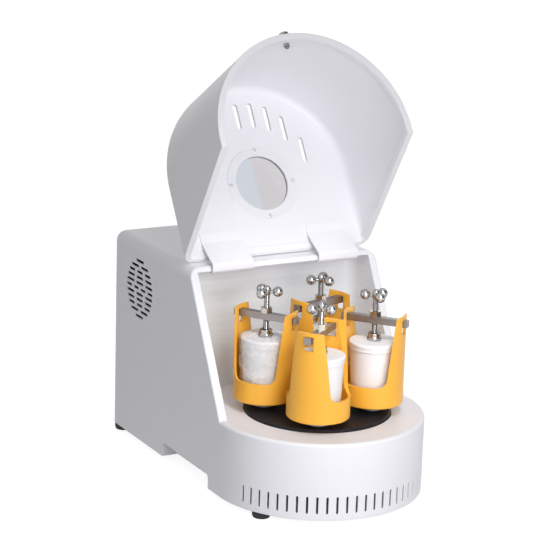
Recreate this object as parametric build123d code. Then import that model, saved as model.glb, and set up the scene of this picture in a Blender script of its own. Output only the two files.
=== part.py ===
from build123d import *
import math
import os

os.makedirs("parts", exist_ok=True)

# Desktop planetary ball mill. Millimetres, +Z up, front towards -Y, bench plane at Z = 0.
# The pieces are drawn about the turntable axis, and moved at the end so that the origin
# lies under the middle of the machine.

# Overall sizes
base_radius = 150.0
body_length = 511.0
body_height = 308.6
deck_height = 117.3
foot_height = 10.0

# Casing
casing_wall = 2.0
top_edge_radius = 15.0
back_edge_radius = 17.0
deck_edge_radius = 4.5
rim_corner_radius = 2.5
lip_width = 12.0
rim_depth = 6.6
slope_start = 7.5
slope_end = 108.5
chamber_back = 149.0
liner_wall = 1.5
liner_corner_radius = 16.0
back_flange = 24.0

# Small clearances that are shared
seat_gap = 0.3
running_gap = 0.05
fit_gap = 0.03
cut_overrun = 5.0

# Turntable
disc_rim = 14.0
disc_thickness = 10.0
disc_rise = 3.7
disc_gap = 1.4
disc_chamfer = 1.4
front_pot_angle = -119.7
pot_names = ("front", "right", "back", "left")
bar_angles = {"front": 38.0, "right": -52.0, "back": 15.0, "left": -56.0}

# Jar holders
holder_radius = 43.6
holder_wall = 4.0
holder_rise = 12.0
holder_floor = 10.0
ring_height = 30.0
ear_rise = 5.0
ear_chord_low = 61.0
ear_chord_top = 40.0
ear_corner_radius = 12.0
window_width = 13.7
window_height = 20.0
jar_recess_depth = 2.0

# Jars
jar_height = 80.0
jar_bottom_radius = 30.0
jar_top_radius = 32.5
jar_wall = 5.0
jar_foot_chamfer = 1.5
collar_radius = 33.7
collar_height = 6.0
lid_radius = 34.5
lid_height = 5.0
lid_edge_radius = 2.0
plug_depth = 4.0
plug_gap = 0.3

# Clamps
bar_overhang = 4.65
bar_width = 10.0
bar_height = 9.6
bar_rise = 34.0
screw_radius = 4.0
nut_across_flats = 14.5
nut_height = 7.5
foot_radius = 10.0
foot_thickness = 11.0
foot_edge = 1.0
screw_seat_depth = 6.0
handle_rise = 30.0
hub_radius = 5.0
hub_drop = 4.5
hub_crown = 3.5
arm_radius = 2.2
ball_radius = 7.1
ball_circle_radius = 14.9
handle_angles = {"front": 57.0, "right": 21.0, "back": 49.0, "left": 91.0}
handle_ball_count = 3

# Gears
gear_module = 2.0
sun_teeth = 50
pinion_teeth = 25
gear_width = 12.0
gear_drop = 19.0
gear_backlash = 0.35
pressure_angle = 20.0
root_share = 1.25

# Shafts and bearings
main_shaft_radius = 12.5
main_bearing_radius = 26.0
main_bearing_width = 15.0
main_hub_radius = 32.0
planet_shaft_radius = 8.0
planet_bearing_radius = 13.0
planet_shoulder_radius = 10.0
planet_flange_radius = 22.0
planet_flange_thickness = 8.0
shaft_cap_height = 3.0

# Drive
housing_radius = 34.0
housing_flange_radius = 46.0
housing_lip = 6.0
housing_flange_thickness = 6.0
housing_end_wall = 2.0
frame_level = 44.0
frame_thickness = 6.0
frame_half_width = 68.0
frame_front = -52.0
frame_tail = 5.0
pillar_radius = 6.0
pillar_inset = 9.0
motor_place_share = 0.5
motor_radius = 52.0
motor_height = 125.0
motor_cap_radius = 30.0
motor_cap_height = 7.0
motor_rib_count = 24
motor_rib_depth = 2.5
motor_rib_width = 3.0
motor_shaft_radius = 7.0
motor_shaft_grip = 30.0
motor_clear_radius = 12.0
driven_pulley_radius = 45.0
motor_pulley_radius = 22.5
pulley_bottom = 20.0
pulley_width = 18.0
pulley_flange_height = 2.0
pulley_flange_rise = 4.0
belt_thickness = 3.0
belt_gap = 0.3

# Base plate and feet
base_plate_thickness = 3.0
base_plate_gap = 0.3
rubber_foot_radius = 13.0
foot_inset = 13.5
front_foot_turn = 28.4
rear_foot_inset = 16.5
foot_chamfer = 1.5

# Hand-hold notches
notch_front = 37.0
notch_back = 182.0
notch_top = 31.0
notch_depth = 25.0
notch_corner_radius = 8.0

# Skirt slots
skirt_slot_count = 28
skirt_slot_pitch = 5.22
skirt_slot_low = 19.0
skirt_slot_high = 43.0
skirt_slot_width = 3.0

# Fan and its vent
fan_place_share = 0.7
fan_drop = 69.3
vent_radius = 43.7
vent_row_pitch = 8.3
vent_slot_height = 4.2
vent_slot_gap = 5.0
vent_slots_per_row = (1, 2, 3, 3, 3, 4, 3, 3, 3, 2, 1)
fan_frame_size = 92.0
fan_frame_depth = 25.0
fan_bore_radius = 43.0
fan_corner_radius = 6.0
fan_screw_radius = 2.2
fan_screw_inset = 5.0
fan_hub_radius = 17.0
fan_blade_radius = 41.0
fan_blade_count = 7
fan_blade_thickness = 1.6
fan_blade_angle = 35.0
fan_rotor_depth = 17.0
fan_strut_width = 6.0
fan_strut_thickness = 2.5
fan_pin_radius = 2.5

# Hood lid
lid_gap = 0.8
hood_wall = 5.0
hood_top_wall = 4.0
hood_rim_width = 9.0
hood_rim_depth = 8.0
hood_back_lip = 1.0
hood_edge_radius = 15.7
hood_open_angle = 121.6
hinge_setback = 10.6
hinge_drop = 4.9
hood_slot_pitch = 23.4
hood_slot_count = 5
hood_slot_shift = 33.4
hood_slot_length = 38.0
hood_slot_width = 7.0
slot_side_margin = 8.4
slot_front_inset = 47.5

# Hood window
window_centre_y = 2.5
glass_view_radius = 41.0
pane_lap = 4.8
pane_thickness = 2.0
pane_gap = 0.3
ring_lap = 8.2
ring_thickness = 2.0
ring_edge = 0.6
ring_screw_radius = 1.5
ring_screw_head_radius = 3.0
ring_screw_head_height = 1.6
ring_screw_length = 4.5
ring_screw_count = 4

# Pull knob on the hood
pull_height = 27.0
pull_stud_radius = 2.5
pull_collar_radius = 3.5
pull_collar_length = 3.0
pull_head_radius = 6.5
pull_head_length = 9.0
pull_nut_flats = 8.0
pull_nut_height = 4.0
pull_stud_end = 3.0

# Hinge arms and brackets
arm_width = 64.0
arm_side_gap = 21.0
arm_thickness = 2.5
pin_radius = 1.5
knuckle_radius = 2.6
arm_knuckle_length = 30.0
knuckle_gap = 0.5
arm_root_drop = 1.5
arm_run_drop = 3.65
arm_run_start = 8.1
arm_front_reach = 18.5
arm_front_rise = 8.3
arm_pad_start = 35.0
arm_pad_end = 49.0
arm_bend_radii = (5.0, 4.5, 5.0, 6.0)
leaf_thickness = 1.5
leaf_length = 26.0

# Control panel on the right side
panel_place_share = 0.5
panel_length = 84.0
panel_drop = 30.0
panel_height = 92.0
panel_depth = 14.0
panel_wall = 2.0
panel_flange = 8.0
display_length = 56.0
display_height = 34.0
display_thickness = 2.0
knob_radius = 14.0
knob_length = 11.0
knob_grip_count = 16
knob_grip_depth = 1.0
knob_skirt_radius = 16.0
knob_skirt_length = 2.0
knob_spindle_radius = 3.0
knob_spindle_length = 8.0
button_radius = 9.0
button_length = 6.0
button_bezel_radius = 11.5
button_bezel_length = 2.5
button_stem_radius = 4.0
button_travel = 1.5
knob_column_share = 0.3
button_column_share = 0.74
control_row_share = 0.27
display_column_share = 0.5
display_row_share = 0.74
display_chamfer = 0.5

# Rear panel, inlet and switch
rear_panel_thickness = 1.5
rear_panel_lap = 6.0
rear_slot_count = 9
rear_slot_pitch = 10.0
rear_slot_width = 4.0
rear_slot_length = 90.0
rear_slot_drop = 78.6
inlet_width = 28.0
inlet_height = 20.0
module_depth = 22.0
inlet_socket_depth = 17.0
inlet_wall = 2.5
inlet_flange = 5.0
inlet_flange_thickness = 1.2
inlet_pin_width = 2.0
inlet_pin_height = 5.0
inlet_pin_length = 13.0
inlet_pin_pitch = 7.0
inlet_inset = 70.0
inlet_z = 60.0
switch_rise = 24.0
switch_width = 20.0
switch_height = 14.0
switch_depth = 16.0
switch_tilt = 8.0
rocker_thickness = 6.0
rocker_gap = 0.5
rocker_swing_gap = 1.4
rocker_sink = 2.6
rocker_pin_radius = 1.5
rocker_rise = 0.6

# Screws that hold the base plate and the rear panel
screw_shank_radius = 1.6
screw_head_radius = 3.5
screw_head_height = 1.6
screw_shank_length = 8.0

# Worked out from the sizes above
body_back = body_length - base_radius
rear_extent = body_back + screw_head_height
origin_shift = (base_radius - rear_extent) / 2
body_bottom = foot_height
chamber_half_width = base_radius - lip_width
liner_back = chamber_back + liner_wall
slope_angle = math.degrees(math.atan2(body_height - deck_height, slope_end - slope_start))
slope_normal_y = -math.sin(math.radians(slope_angle))
pot_circle_radius = gear_module * (sun_teeth + pinion_teeth) / 2
disc_radius = pot_circle_radius + planet_bearing_radius + disc_rim
disc_top = deck_height + disc_rise
disc_bottom = disc_top - disc_thickness
gear_bottom = disc_bottom - gear_drop
frame_top = frame_level + frame_thickness
holder_bottom = disc_top + holder_rise
seat_level = holder_bottom + holder_floor - jar_recess_depth
jar_top = seat_level + jar_height
collar_bottom = jar_top - lid_height - collar_height
lid_bottom = jar_top - lid_height
ring_top = holder_bottom + ring_height
bar_top = jar_top + bar_rise
bar_bottom = bar_top - bar_height
window_bottom = bar_top - window_height
ear_top = bar_top + ear_rise
handle_height = bar_top + handle_rise
foot_top = jar_top + foot_thickness
gear_top = gear_bottom + gear_width
base_plate_top = body_bottom + base_plate_thickness
rear_panel_face = body_back - casing_wall - rear_panel_thickness
motor_distance = liner_back + motor_place_share * (rear_panel_face - liner_back)
frame_back = motor_distance + motor_radius + frame_tail
motor_top = frame_top + motor_height
pulley_top = pulley_bottom + pulley_width
hood_plate_low = body_height - hood_top_wall
hinge_y = slope_end + hinge_setback
hinge_z = body_height - hinge_drop
arm_spread = chamber_half_width - arm_side_gap - arm_width / 2
pane_radius = glass_view_radius + pane_lap
ring_radius = pane_radius + ring_lap
ring_screw_circle = (pane_radius + pane_gap + ring_radius) / 2
slot_row_half = (hood_slot_count - 1) / 2 * hood_slot_pitch
slot_arc_x = hood_slot_shift + slot_row_half + slot_side_margin
slot_arc_y = base_radius - slot_front_inset
side_wall_end = body_back - back_edge_radius
fan_first_y = liner_back + fan_frame_size / 2
fan_last_y = side_wall_end - fan_frame_size / 2
fan_y = fan_first_y + fan_place_share * (fan_last_y - fan_first_y)
fan_z = body_height - fan_drop
rear_slot_z = body_height - rear_slot_drop
inlet_x = inlet_inset - base_radius
switch_z = inlet_z + switch_rise
rocker_y = body_back - casing_wall + inlet_flange_thickness - rocker_sink
panel_first = liner_back + panel_flange
panel_last = side_wall_end - panel_flange - panel_length
panel_front = panel_first + panel_place_share * (panel_last - panel_first)
panel_low = body_height - panel_drop - panel_height
knob_y = panel_front + knob_column_share * panel_length
button_y = panel_front + button_column_share * panel_length
control_row_z = panel_low + control_row_share * panel_height
pot_angles = {name: front_pot_angle + 90.0 * step for step, name in enumerate(pot_names)}


def block(x0, x1, y0, y1, z0, z1):
    """A box between two corners."""
    centre = ((x0 + x1) / 2, (y0 + y1) / 2, (z0 + z1) / 2)
    return Pos(*centre) * Box(x1 - x0, y1 - y0, z1 - z0)


def column(radius, z0, z1, x=0.0, y=0.0):
    """An upright cylinder from z0 to z1."""
    return Pos(x, y, (z0 + z1) / 2) * Cylinder(radius, z1 - z0)


def side_rod(radius, x0, x1, y, z):
    """A cylinder that lies along X."""
    return Pos((x0 + x1) / 2, y, z) * Rot(0, 90, 0) * Cylinder(radius, abs(x1 - x0))


def front_rod(radius, y0, y1, x, z):
    """A cylinder that lies along Y."""
    return Pos(x, (y0 + y1) / 2, z) * Rot(90, 0, 0) * Cylinder(radius, abs(y1 - y0))


def side_prism(points, x0, x1):
    """A prism along X over an outline of (y, z) points."""
    outline = make_face(Polyline(*points, close=True))
    return extrude(Plane.YZ.offset(x0) * outline, amount=x1 - x0)


def hex_nut(flats, z0, z1):
    """A six-sided nut about Z."""
    outline = RegularPolygon(flats / 2, 6, major_radius=False)
    return extrude(Plane.XY.offset(z0) * outline, amount=z1 - z0)


def plan_outline(radius, back):
    """Round front, straight sides and a square back."""
    left = Line((-radius, back), (-radius, 0))
    nose = ThreePointArc((-radius, 0), (0, -radius), (radius, 0))
    right = Line((radius, 0), (radius, back))
    rear = Line((radius, back), (-radius, back))
    return make_face([left, nose, right, rear])


def plan_prism(radius, back, z0, z1):
    return extrude(Plane.XY.offset(z0) * plan_outline(radius, back), amount=z1 - z0)


def slope_y(z, offset=0.0):
    """Where the sloping parting line stands at height z, moved forwards by an offset."""
    along = (z - deck_height) / math.tan(math.radians(slope_angle))
    return slope_start + along + offset / slope_normal_y


def group(shapes):
    """Separate solids that share one node."""
    return Compound([solid for shape in shapes for solid in shape.solids()])


def pot_centre(name):
    angle = math.radians(pot_angles[name])
    return pot_circle_radius * math.cos(angle), pot_circle_radius * math.sin(angle)


# Casing

def casing_form(inset, bottom):
    """The casing's outer form, or its inside when inset by the wall."""
    radius = base_radius - inset
    back = body_back - inset
    top = body_height - inset
    deck = deck_height - inset
    skirt = plan_prism(radius, back, bottom, deck)
    deck_edges = skirt.faces().sort_by(Axis.Z)[-1].edges().sort_by(Axis.Y)
    skirt = fillet(deck_edges[:-1], deck_edge_radius - inset)
    slope_low = slope_y(deck, -inset)
    slope_high = slope_y(top, -inset)
    outline = [(slope_low, deck), (slope_high, top), (back, top), (back, bottom), (slope_low, bottom)]
    cabinet = side_prism(outline, -radius, radius)
    back_edges = cabinet.edges().filter_by(Axis.Z).group_by(Axis.Y)[-1]
    cabinet = fillet(back_edges, back_edge_radius - inset)
    top_edges = cabinet.faces().sort_by(Axis.Z)[-1].edges().sort_by(Axis.Y)
    cabinet = fillet(top_edges[1:], top_edge_radius - inset)
    corner = block(-radius, radius, slope_low, back + cut_overrun, bottom, deck)
    return (skirt - corner) + cabinet


def slot_cutter(x0, x1, y, z, length, height):
    """A round-ended slot through a side wall, long way along Y."""
    return Pos(x0, y, z) * extrude(Plane.YZ * SlotOverall(length, height), amount=x1 - x0)


def fan_vent():
    """Rows of short slots that fill a circle in the left wall."""
    outside = -base_radius - cut_overrun
    inside = -base_radius + casing_wall + cut_overrun
    cutters = []
    middle = (len(vent_slots_per_row) - 1) / 2
    for row, count in enumerate(vent_slots_per_row):
        rise = (row - middle) * vent_row_pitch
        chord = 2 * math.sqrt(vent_radius**2 - rise**2)
        length = (chord - (count - 1) * vent_slot_gap) / count
        for place in range(count):
            y = fan_y + (place - (count - 1) / 2) * (length + vent_slot_gap)
            cutters.append(slot_cutter(outside, inside, y, fan_z + rise, length, vent_slot_height))
    return cutters


def skirt_slots():
    """Upright slots round the front of the skirt."""
    middle = (skirt_slot_low + skirt_slot_high) / 2
    height = skirt_slot_high - skirt_slot_low
    reach = casing_wall + 2 * cut_overrun
    cutters = []
    for place in range(skirt_slot_count):
        angle = -90 + (place - (skirt_slot_count - 1) / 2) * skirt_slot_pitch
        slot = extrude(Plane.YZ * SlotOverall(height, skirt_slot_width, rotation=90), amount=reach)
        cutters.append(Rot(0, 0, angle) * Pos(base_radius - reach / 2, 0, middle) * slot)
    return cutters


def notch_block(side, inset, z0):
    """The hand-hold hollow in one side, grown outwards by an inset."""
    outer = base_radius + cut_overrun
    inner = base_radius - notch_depth - inset
    low_x, high_x = sorted((side * inner, side * outer))
    hollow = block(low_x, high_x, notch_front - inset, notch_back + inset, z0, notch_top + inset)
    arches = hollow.edges().filter_by(Axis.X).group_by(Axis.Z)[-1]
    return fillet(arches, notch_corner_radius + inset)


def rear_opening():
    wide = base_radius - back_flange
    return block(-wide, wide, body_back - back_flange, body_back + cut_overrun,
                 body_bottom + back_flange, body_height - back_flange)


def panel_box(grow, x0, x1):
    """The control panel's window, grown all round."""
    return block(x0, x1, panel_front - grow, panel_front + panel_length + grow,
                 panel_low - grow, panel_low + panel_height + grow)


def body_shell():
    shell = casing_form(0, body_bottom) - casing_form(casing_wall, body_bottom - cut_overrun)
    rim_edges = shell.edges().filter_by(Axis.X).group_by(Axis.Z)[-1].sort_by(Axis.Y)
    shell = fillet(rim_edges[0], rim_corner_radius)
    deck_low = deck_height - casing_wall
    narrow = base_radius - 2 * deck_edge_radius
    wide = base_radius - casing_wall / 2
    shell += block(-narrow, narrow, 0, liner_back, deck_low, deck_height)
    shell += block(-wide, wide, slope_start + deck_edge_radius, liner_back, deck_low, deck_height)
    shell -= block(-chamber_half_width, chamber_half_width, -base_radius, liner_back,
                   deck_height, body_height - rim_depth)
    shell -= column(disc_radius + disc_gap, deck_low - cut_overrun, deck_height + cut_overrun)
    for side in (-1, 1):
        walls = notch_block(side, casing_wall, body_bottom) & casing_form(0, body_bottom)
        shell += walls
        shell -= notch_block(side, 0, body_bottom - cut_overrun)
    shell -= rear_opening()
    shell -= fan_vent()
    shell -= skirt_slots()
    shell -= panel_box(0, base_radius - casing_wall - cut_overrun, base_radius + cut_overrun)
    return shell - rear_screw_holes()


def chamber_liner():
    """Rear wall and cheek linings, one bent sheet that stands on the deck."""
    outer = chamber_half_width + liner_wall
    top = body_height - casing_wall
    outline = [(slope_y(deck_height, -casing_wall), deck_height), (slope_y(top, -casing_wall), top),
               (liner_back, top), (liner_back, deck_height)]
    sheet = side_prism(outline, -outer, outer)
    corners = sheet.edges().filter_by(Axis.Z).group_by(Axis.Y)[-1]
    sheet = fillet(corners, liner_corner_radius + liner_wall)
    hollow = block(-chamber_half_width, chamber_half_width, -base_radius, chamber_back,
                   deck_height - cut_overrun, top + cut_overrun)
    hollow_corners = hollow.edges().filter_by(Axis.Z).group_by(Axis.Y)[-1]
    sheet -= fillet(hollow_corners, liner_corner_radius)
    return sheet & casing_form(casing_wall + fit_gap, body_bottom)


def foot_places():
    """The front feet lie on the round front, the rear ones in the corners."""
    reach = base_radius - foot_inset
    turn = math.radians(front_foot_turn)
    front_x = reach * math.cos(turn)
    front_y = -reach * math.sin(turn)
    rear_y = body_back - rear_foot_inset
    return [(-front_x, front_y), (front_x, front_y), (-reach, rear_y), (reach, rear_y)]


def base_plate():
    inset = casing_wall + base_plate_gap
    plate = plan_prism(base_radius - inset, body_back - inset, body_bottom, base_plate_top)
    rear_corners = plate.edges().filter_by(Axis.Z).group_by(Axis.Y)[-1]
    plate = fillet(rear_corners, back_edge_radius - inset)
    for side in (-1, 1):
        plate -= notch_block(side, inset, body_bottom - cut_overrun)
    for x, y in foot_places():
        plate -= column(screw_shank_radius + fit_gap, 0, base_plate_top + cut_overrun, x, y)
    return plate


def rubber_feet():
    feet = []
    for x, y in foot_places():
        foot = column(rubber_foot_radius, 0, foot_height, x, y)
        foot = chamfer(foot.edges().group_by(Axis.Z)[0], foot_chamfer)
        foot -= column(screw_head_radius + fit_gap, -cut_overrun, foot_height / 2, x, y)
        feet.append(foot - column(screw_shank_radius + fit_gap, 0, foot_height + cut_overrun, x, y))
    return group(feet)


def rear_panel():
    """Flat plate behind the back opening, with air slots and holes for the inlet module and screws."""
    wide = base_radius - back_flange + rear_panel_lap
    face = body_back - casing_wall
    plate = block(-wide, wide, rear_panel_face, face,
                  body_bottom + back_flange - rear_panel_lap, body_height - back_flange + rear_panel_lap)
    for place in range(rear_slot_count):
        z = rear_slot_z + (place - (rear_slot_count - 1) / 2) * rear_slot_pitch
        slot = extrude(Plane.XZ * SlotOverall(rear_slot_length, rear_slot_width), amount=2 * cut_overrun)
        plate -= Pos(0, face + cut_overrun, z) * slot
    plate -= module_block(fit_gap, module_depth)
    return plate - rear_screw_holes()


def rear_screw_places():
    wide = base_radius - back_flange + rear_panel_lap / 2
    low = body_bottom + back_flange - rear_panel_lap / 2
    high = body_height - back_flange + rear_panel_lap / 2
    return [(-wide, low), (wide, low), (-wide, high), (wide, high)]


def rear_screw_holes():
    hole = screw_shank_radius + fit_gap
    return [front_rod(hole, body_back - screw_shank_length, body_back + cut_overrun, x, z)
            for x, z in rear_screw_places()]


def casing_screws():
    """Screws that hold the rear panel to the casing's back flange, and screws inside the feet."""
    screws = []
    for x, z in rear_screw_places():
        shank = front_rod(screw_shank_radius, body_back - screw_shank_length, body_back, x, z)
        head = front_rod(screw_head_radius, body_back, body_back + screw_head_height, x, z)
        screws.append(shank + head)
    for x, y in foot_places():
        head_low = foot_height / 2 - screw_head_height
        head = column(screw_head_radius, head_low, foot_height / 2, x, y)
        shank = column(screw_shank_radius, foot_height / 2, base_plate_top + screw_head_height, x, y)
        screws.append(head + shank)
    return group(screws)


# Rear fittings

def module_block(grow, depth):
    """The inlet and switch module's body, grown all round and as deep as asked."""
    face = body_back - casing_wall
    return block(inlet_x - inlet_width / 2 - grow, inlet_x + inlet_width / 2 + grow, face - depth, face,
                 inlet_z - inlet_height / 2 - grow, switch_z + switch_height / 2 + inlet_wall + grow)


def power_inlet():
    """Mains socket and switch housing in one moulding, with three pins in the socket."""
    face = body_back - casing_wall
    front = face + inlet_flange_thickness
    module = module_block(0, module_depth)
    flange = Pos(0, inlet_flange_thickness, 0) * module_block(inlet_flange, inlet_flange_thickness)
    module += flange
    half_wide = inlet_width / 2 - inlet_wall
    half_high = inlet_height / 2 - inlet_wall
    module -= block(inlet_x - half_wide, inlet_x + half_wide, front - inlet_socket_depth, front,
                    inlet_z - half_high, inlet_z + half_high)
    module -= block(inlet_x - switch_width / 2, inlet_x + switch_width / 2, front - switch_depth, front,
                    switch_z - switch_height / 2, switch_z + switch_height / 2)
    bore = rocker_pin_radius + running_gap
    module -= side_rod(bore, inlet_x - inlet_width / 2, inlet_x + inlet_width / 2, rocker_y, switch_z)
    for place in (-1, 0, 1):
        x = inlet_x + place * inlet_pin_pitch
        module += block(x - inlet_pin_width / 2, x + inlet_pin_width / 2, front - inlet_socket_depth,
                        front - inlet_socket_depth + inlet_pin_length,
                        inlet_z - inlet_pin_height / 2, inlet_z + inlet_pin_height / 2)
    return module


def power_switch():
    """Rocker with a shallow V face, on a pin, tilted to its off side."""
    half = switch_height / 2 - rocker_swing_gap
    back = -rocker_thickness / 2
    middle = rocker_thickness / 2
    outline = [(back, -half), (middle + rocker_rise, -half), (middle, 0), (middle + rocker_rise, half),
               (back, half)]
    half_wide = switch_width / 2 - rocker_gap
    rocker = side_prism(outline, -half_wide, half_wide)
    pin_reach = inlet_width / 2 - inlet_wall / 2
    rocker += side_rod(rocker_pin_radius, -pin_reach, pin_reach, 0, 0)
    return Pos(inlet_x, rocker_y, switch_z) * Rot(switch_tilt, 0, 0) * rocker


# Control panel

def control_panel():
    """Sunken tray behind the casing's side window, with a button ring and two spindle holes."""
    rim = base_radius - casing_wall
    floor_back = rim - panel_depth
    floor_face = floor_back + panel_wall
    tray = panel_box(panel_wall, floor_back, rim)
    tray += panel_box(panel_flange, rim - panel_wall, rim)
    tray -= panel_box(0, floor_face, rim + cut_overrun)
    ring_end = floor_face + button_bezel_length
    tray += side_rod(button_bezel_radius, floor_face, ring_end, button_y, control_row_z)
    tray -= side_rod(button_radius + seat_gap, floor_face, ring_end, button_y, control_row_z)
    tray -= side_rod(button_stem_radius + running_gap, floor_back, floor_face, button_y, control_row_z)
    tray -= side_rod(knob_spindle_radius + running_gap, floor_back, floor_face, knob_y, control_row_z)
    return tray


def display_window():
    """Glass pane with a raised middle on the tray's floor."""
    floor_face = base_radius - casing_wall - panel_depth + panel_wall
    y = panel_front + display_column_share * panel_length
    z = panel_low + display_row_share * panel_height
    half_y = display_length / 2
    half_z = display_height / 2
    pane = block(floor_face, floor_face + display_thickness, y - half_y, y + half_y, z - half_z, z + half_z)
    return chamfer(pane.faces().sort_by(Axis.X)[-1].edges(), display_chamfer)


def speed_knob():
    """Fluted knob with a skirt, on a spindle that passes through the tray's floor."""
    floor_face = base_radius - casing_wall - panel_depth + panel_wall
    base = floor_face + seat_gap
    skirt_end = base + knob_skirt_length
    knob = side_rod(knob_skirt_radius, base, skirt_end, 0, 0)
    grip = side_rod(knob_radius, skirt_end, skirt_end + knob_length, 0, 0)
    grip = chamfer(grip.edges().group_by(Axis.X)[-1], knob_grip_depth)
    for place in range(knob_grip_count):
        angle = 2 * math.pi * place / knob_grip_count
        y = knob_radius * math.cos(angle)
        z = knob_radius * math.sin(angle)
        grip -= side_rod(knob_grip_depth, skirt_end, skirt_end + knob_length, y, z)
    spindle = side_rod(knob_spindle_radius, base - knob_spindle_length, base, 0, 0)
    return Pos(0, knob_y, control_row_z) * (knob + grip + spindle)


def run_button():
    """Round push button; a collar behind the floor keeps it in."""
    floor_back = base_radius - casing_wall - panel_depth
    floor_face = floor_back + panel_wall
    cap_base = floor_face + button_travel + seat_gap
    cap = side_rod(button_radius, cap_base, cap_base + button_length, 0, 0)
    cap = fillet(cap.edges().group_by(Axis.X)[-1], button_travel / 2)
    collar_face = floor_back - seat_gap
    stem = side_rod(button_stem_radius, collar_face, cap_base, 0, 0)
    collar = side_rod(button_stem_radius + panel_wall, collar_face - panel_wall, collar_face, 0, 0)
    return Pos(0, button_y, control_row_z) * (cap + stem + collar)


# Fan

def fan_frame():
    """Square frame against the left wall, with a strut cross and the pin that the rotor turns on."""
    face = -base_radius + casing_wall
    half = fan_frame_size / 2
    frame = block(face, face + fan_frame_depth, -half, half, -half, half)
    frame = fillet(frame.edges().filter_by(Axis.X), fan_corner_radius)
    frame -= side_rod(fan_bore_radius, face - cut_overrun, face + fan_frame_depth + cut_overrun, 0, 0)
    back = face + fan_frame_depth
    strut_face = back - fan_strut_thickness
    half_strut = fan_strut_width / 2
    for turn in (0, 90):
        frame += Rot(turn, 0, 0) * block(strut_face, back, -fan_bore_radius - half_strut,
                                         fan_bore_radius + half_strut, -half_strut, half_strut)
    frame += side_rod(fan_hub_radius, strut_face, back, 0, 0)
    frame += side_rod(fan_pin_radius, strut_face - fan_rotor_depth, strut_face, 0, 0)
    inset = half - fan_screw_inset
    for y in (-inset, inset):
        for z in (-inset, inset):
            frame -= side_rod(fan_screw_radius, face - cut_overrun, back + cut_overrun, y, z)
    return Pos(0, fan_y, fan_z) * frame


def fan_rotor():
    """Hub with tilted blades."""
    hub_back = -base_radius + casing_wall + fan_frame_depth - fan_strut_thickness - seat_gap
    hub_front = hub_back - fan_rotor_depth
    middle = (hub_front + hub_back) / 2
    rotor = side_rod(fan_hub_radius, hub_front, hub_back, 0, 0)
    span = fan_blade_radius - fan_hub_radius + fan_blade_thickness
    chord = (fan_rotor_depth - fan_strut_thickness) / math.cos(math.radians(fan_blade_angle))
    blade = Box(chord, fan_blade_thickness, span)
    reach = fan_blade_radius - span / 2
    for place in range(fan_blade_count):
        turn = Rot(place * 360 / fan_blade_count, 0, 0)
        rotor += turn * Pos(middle, 0, reach) * Rot(0, 0, fan_blade_angle) * blade
    rotor &= side_rod(fan_blade_radius, hub_front, hub_back, 0, 0)
    rotor -= side_rod(fan_pin_radius + running_gap, hub_front, hub_back, 0, 0)
    return Pos(0, fan_y, fan_z) * rotor


# Drive

def pillar_places():
    wide = frame_half_width - pillar_inset
    front = frame_front + pillar_inset
    back = frame_back - pillar_inset
    return [(side * wide, y) for side in (-1, 1) for y in (front, (front + back) / 2, back)]


def drive_frame():
    """Plate on pillars that carries the bearing housing and the motor."""
    frame = block(-frame_half_width, frame_half_width, frame_front, frame_back, frame_level, frame_top)
    frame = fillet(frame.edges().filter_by(Axis.Z), pillar_inset)
    for x, y in pillar_places():
        frame += column(pillar_radius, base_plate_top, frame_level, x, y)
    frame -= column(main_bearing_radius - housing_lip, frame_level - cut_overrun, frame_top + cut_overrun)
    frame -= column(motor_clear_radius, frame_level - cut_overrun, frame_top + cut_overrun, 0, motor_distance)
    return frame


def bearing_levels():
    low = frame_top + housing_end_wall
    high = gear_bottom - housing_end_wall - main_bearing_width
    return low, high


def bearing_housing():
    """Flanged tube with a seat for a bearing at each end."""
    lip_radius = main_bearing_radius - housing_lip
    housing = column(housing_radius, frame_top, gear_bottom)
    housing += column(housing_flange_radius, frame_top, frame_top + housing_flange_thickness)
    housing -= column(lip_radius, frame_top - cut_overrun, gear_bottom + cut_overrun)
    for level in bearing_levels():
        housing -= column(main_bearing_radius + fit_gap, level, level + main_bearing_width)
    return housing


def ball_bearing(bore, outside, z0, z1, x=0.0, y=0.0):
    """Two races joined by a sunken shield."""
    middle = (bore + outside) / 2
    race = (outside - bore) / 4
    step = (z1 - z0) / 8
    ring = column(outside, z0, z1, x, y) - column(bore, z0, z1, x, y)
    groove = column(middle + race / 2, z0, z1, x, y) - column(middle - race / 2, z0, z1, x, y)
    shield = groove & column(outside, z0 + step, z1 - step, x, y)
    return ring - groove + shield


def main_bearings():
    bore = main_shaft_radius + running_gap
    return group(ball_bearing(bore, main_bearing_radius, level, level + main_bearing_width)
                 for level in bearing_levels())


def planet_bearings():
    rings = []
    for name in pot_names:
        x, y = pot_centre(name)
        rings.append(ball_bearing(planet_shaft_radius + running_gap, planet_bearing_radius,
                                  disc_bottom, disc_top, x, y))
    return group(rings)


def gear_outline(teeth, phase):
    """Outline with straight-sided teeth on the involute's chord, thinned by the backlash."""
    pitch_radius = gear_module * teeth / 2
    tip_radius = pitch_radius + gear_module
    root_radius = pitch_radius - gear_module * root_share
    half_pitch = math.pi / teeth / 2 - gear_backlash / 2 / pitch_radius
    lean = math.tan(math.radians(pressure_angle))
    points = []
    for tooth in range(teeth):
        centre = phase + 2 * math.pi * tooth / teeth
        corners = []
        for radius in (root_radius, pitch_radius, tip_radius):
            half_angle = half_pitch - (radius - pitch_radius) * lean / radius
            corners.append((radius, half_angle))
        rising = [(radius, centre - half) for radius, half in corners]
        falling = [(radius, centre + half) for radius, half in reversed(corners)]
        points += [(radius * math.cos(angle), radius * math.sin(angle)) for radius, angle in rising + falling]
    return make_face(Polyline(*points, close=True))


def gear(teeth, phase):
    return extrude(Plane.XY.offset(gear_bottom) * gear_outline(teeth, phase), amount=gear_width)


def sun_gear():
    """Fixed gear on the bearing housing, round the main shaft."""
    return gear(sun_teeth, 0.0) - column(main_bearing_radius - housing_lip, gear_bottom, gear_top)


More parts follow.
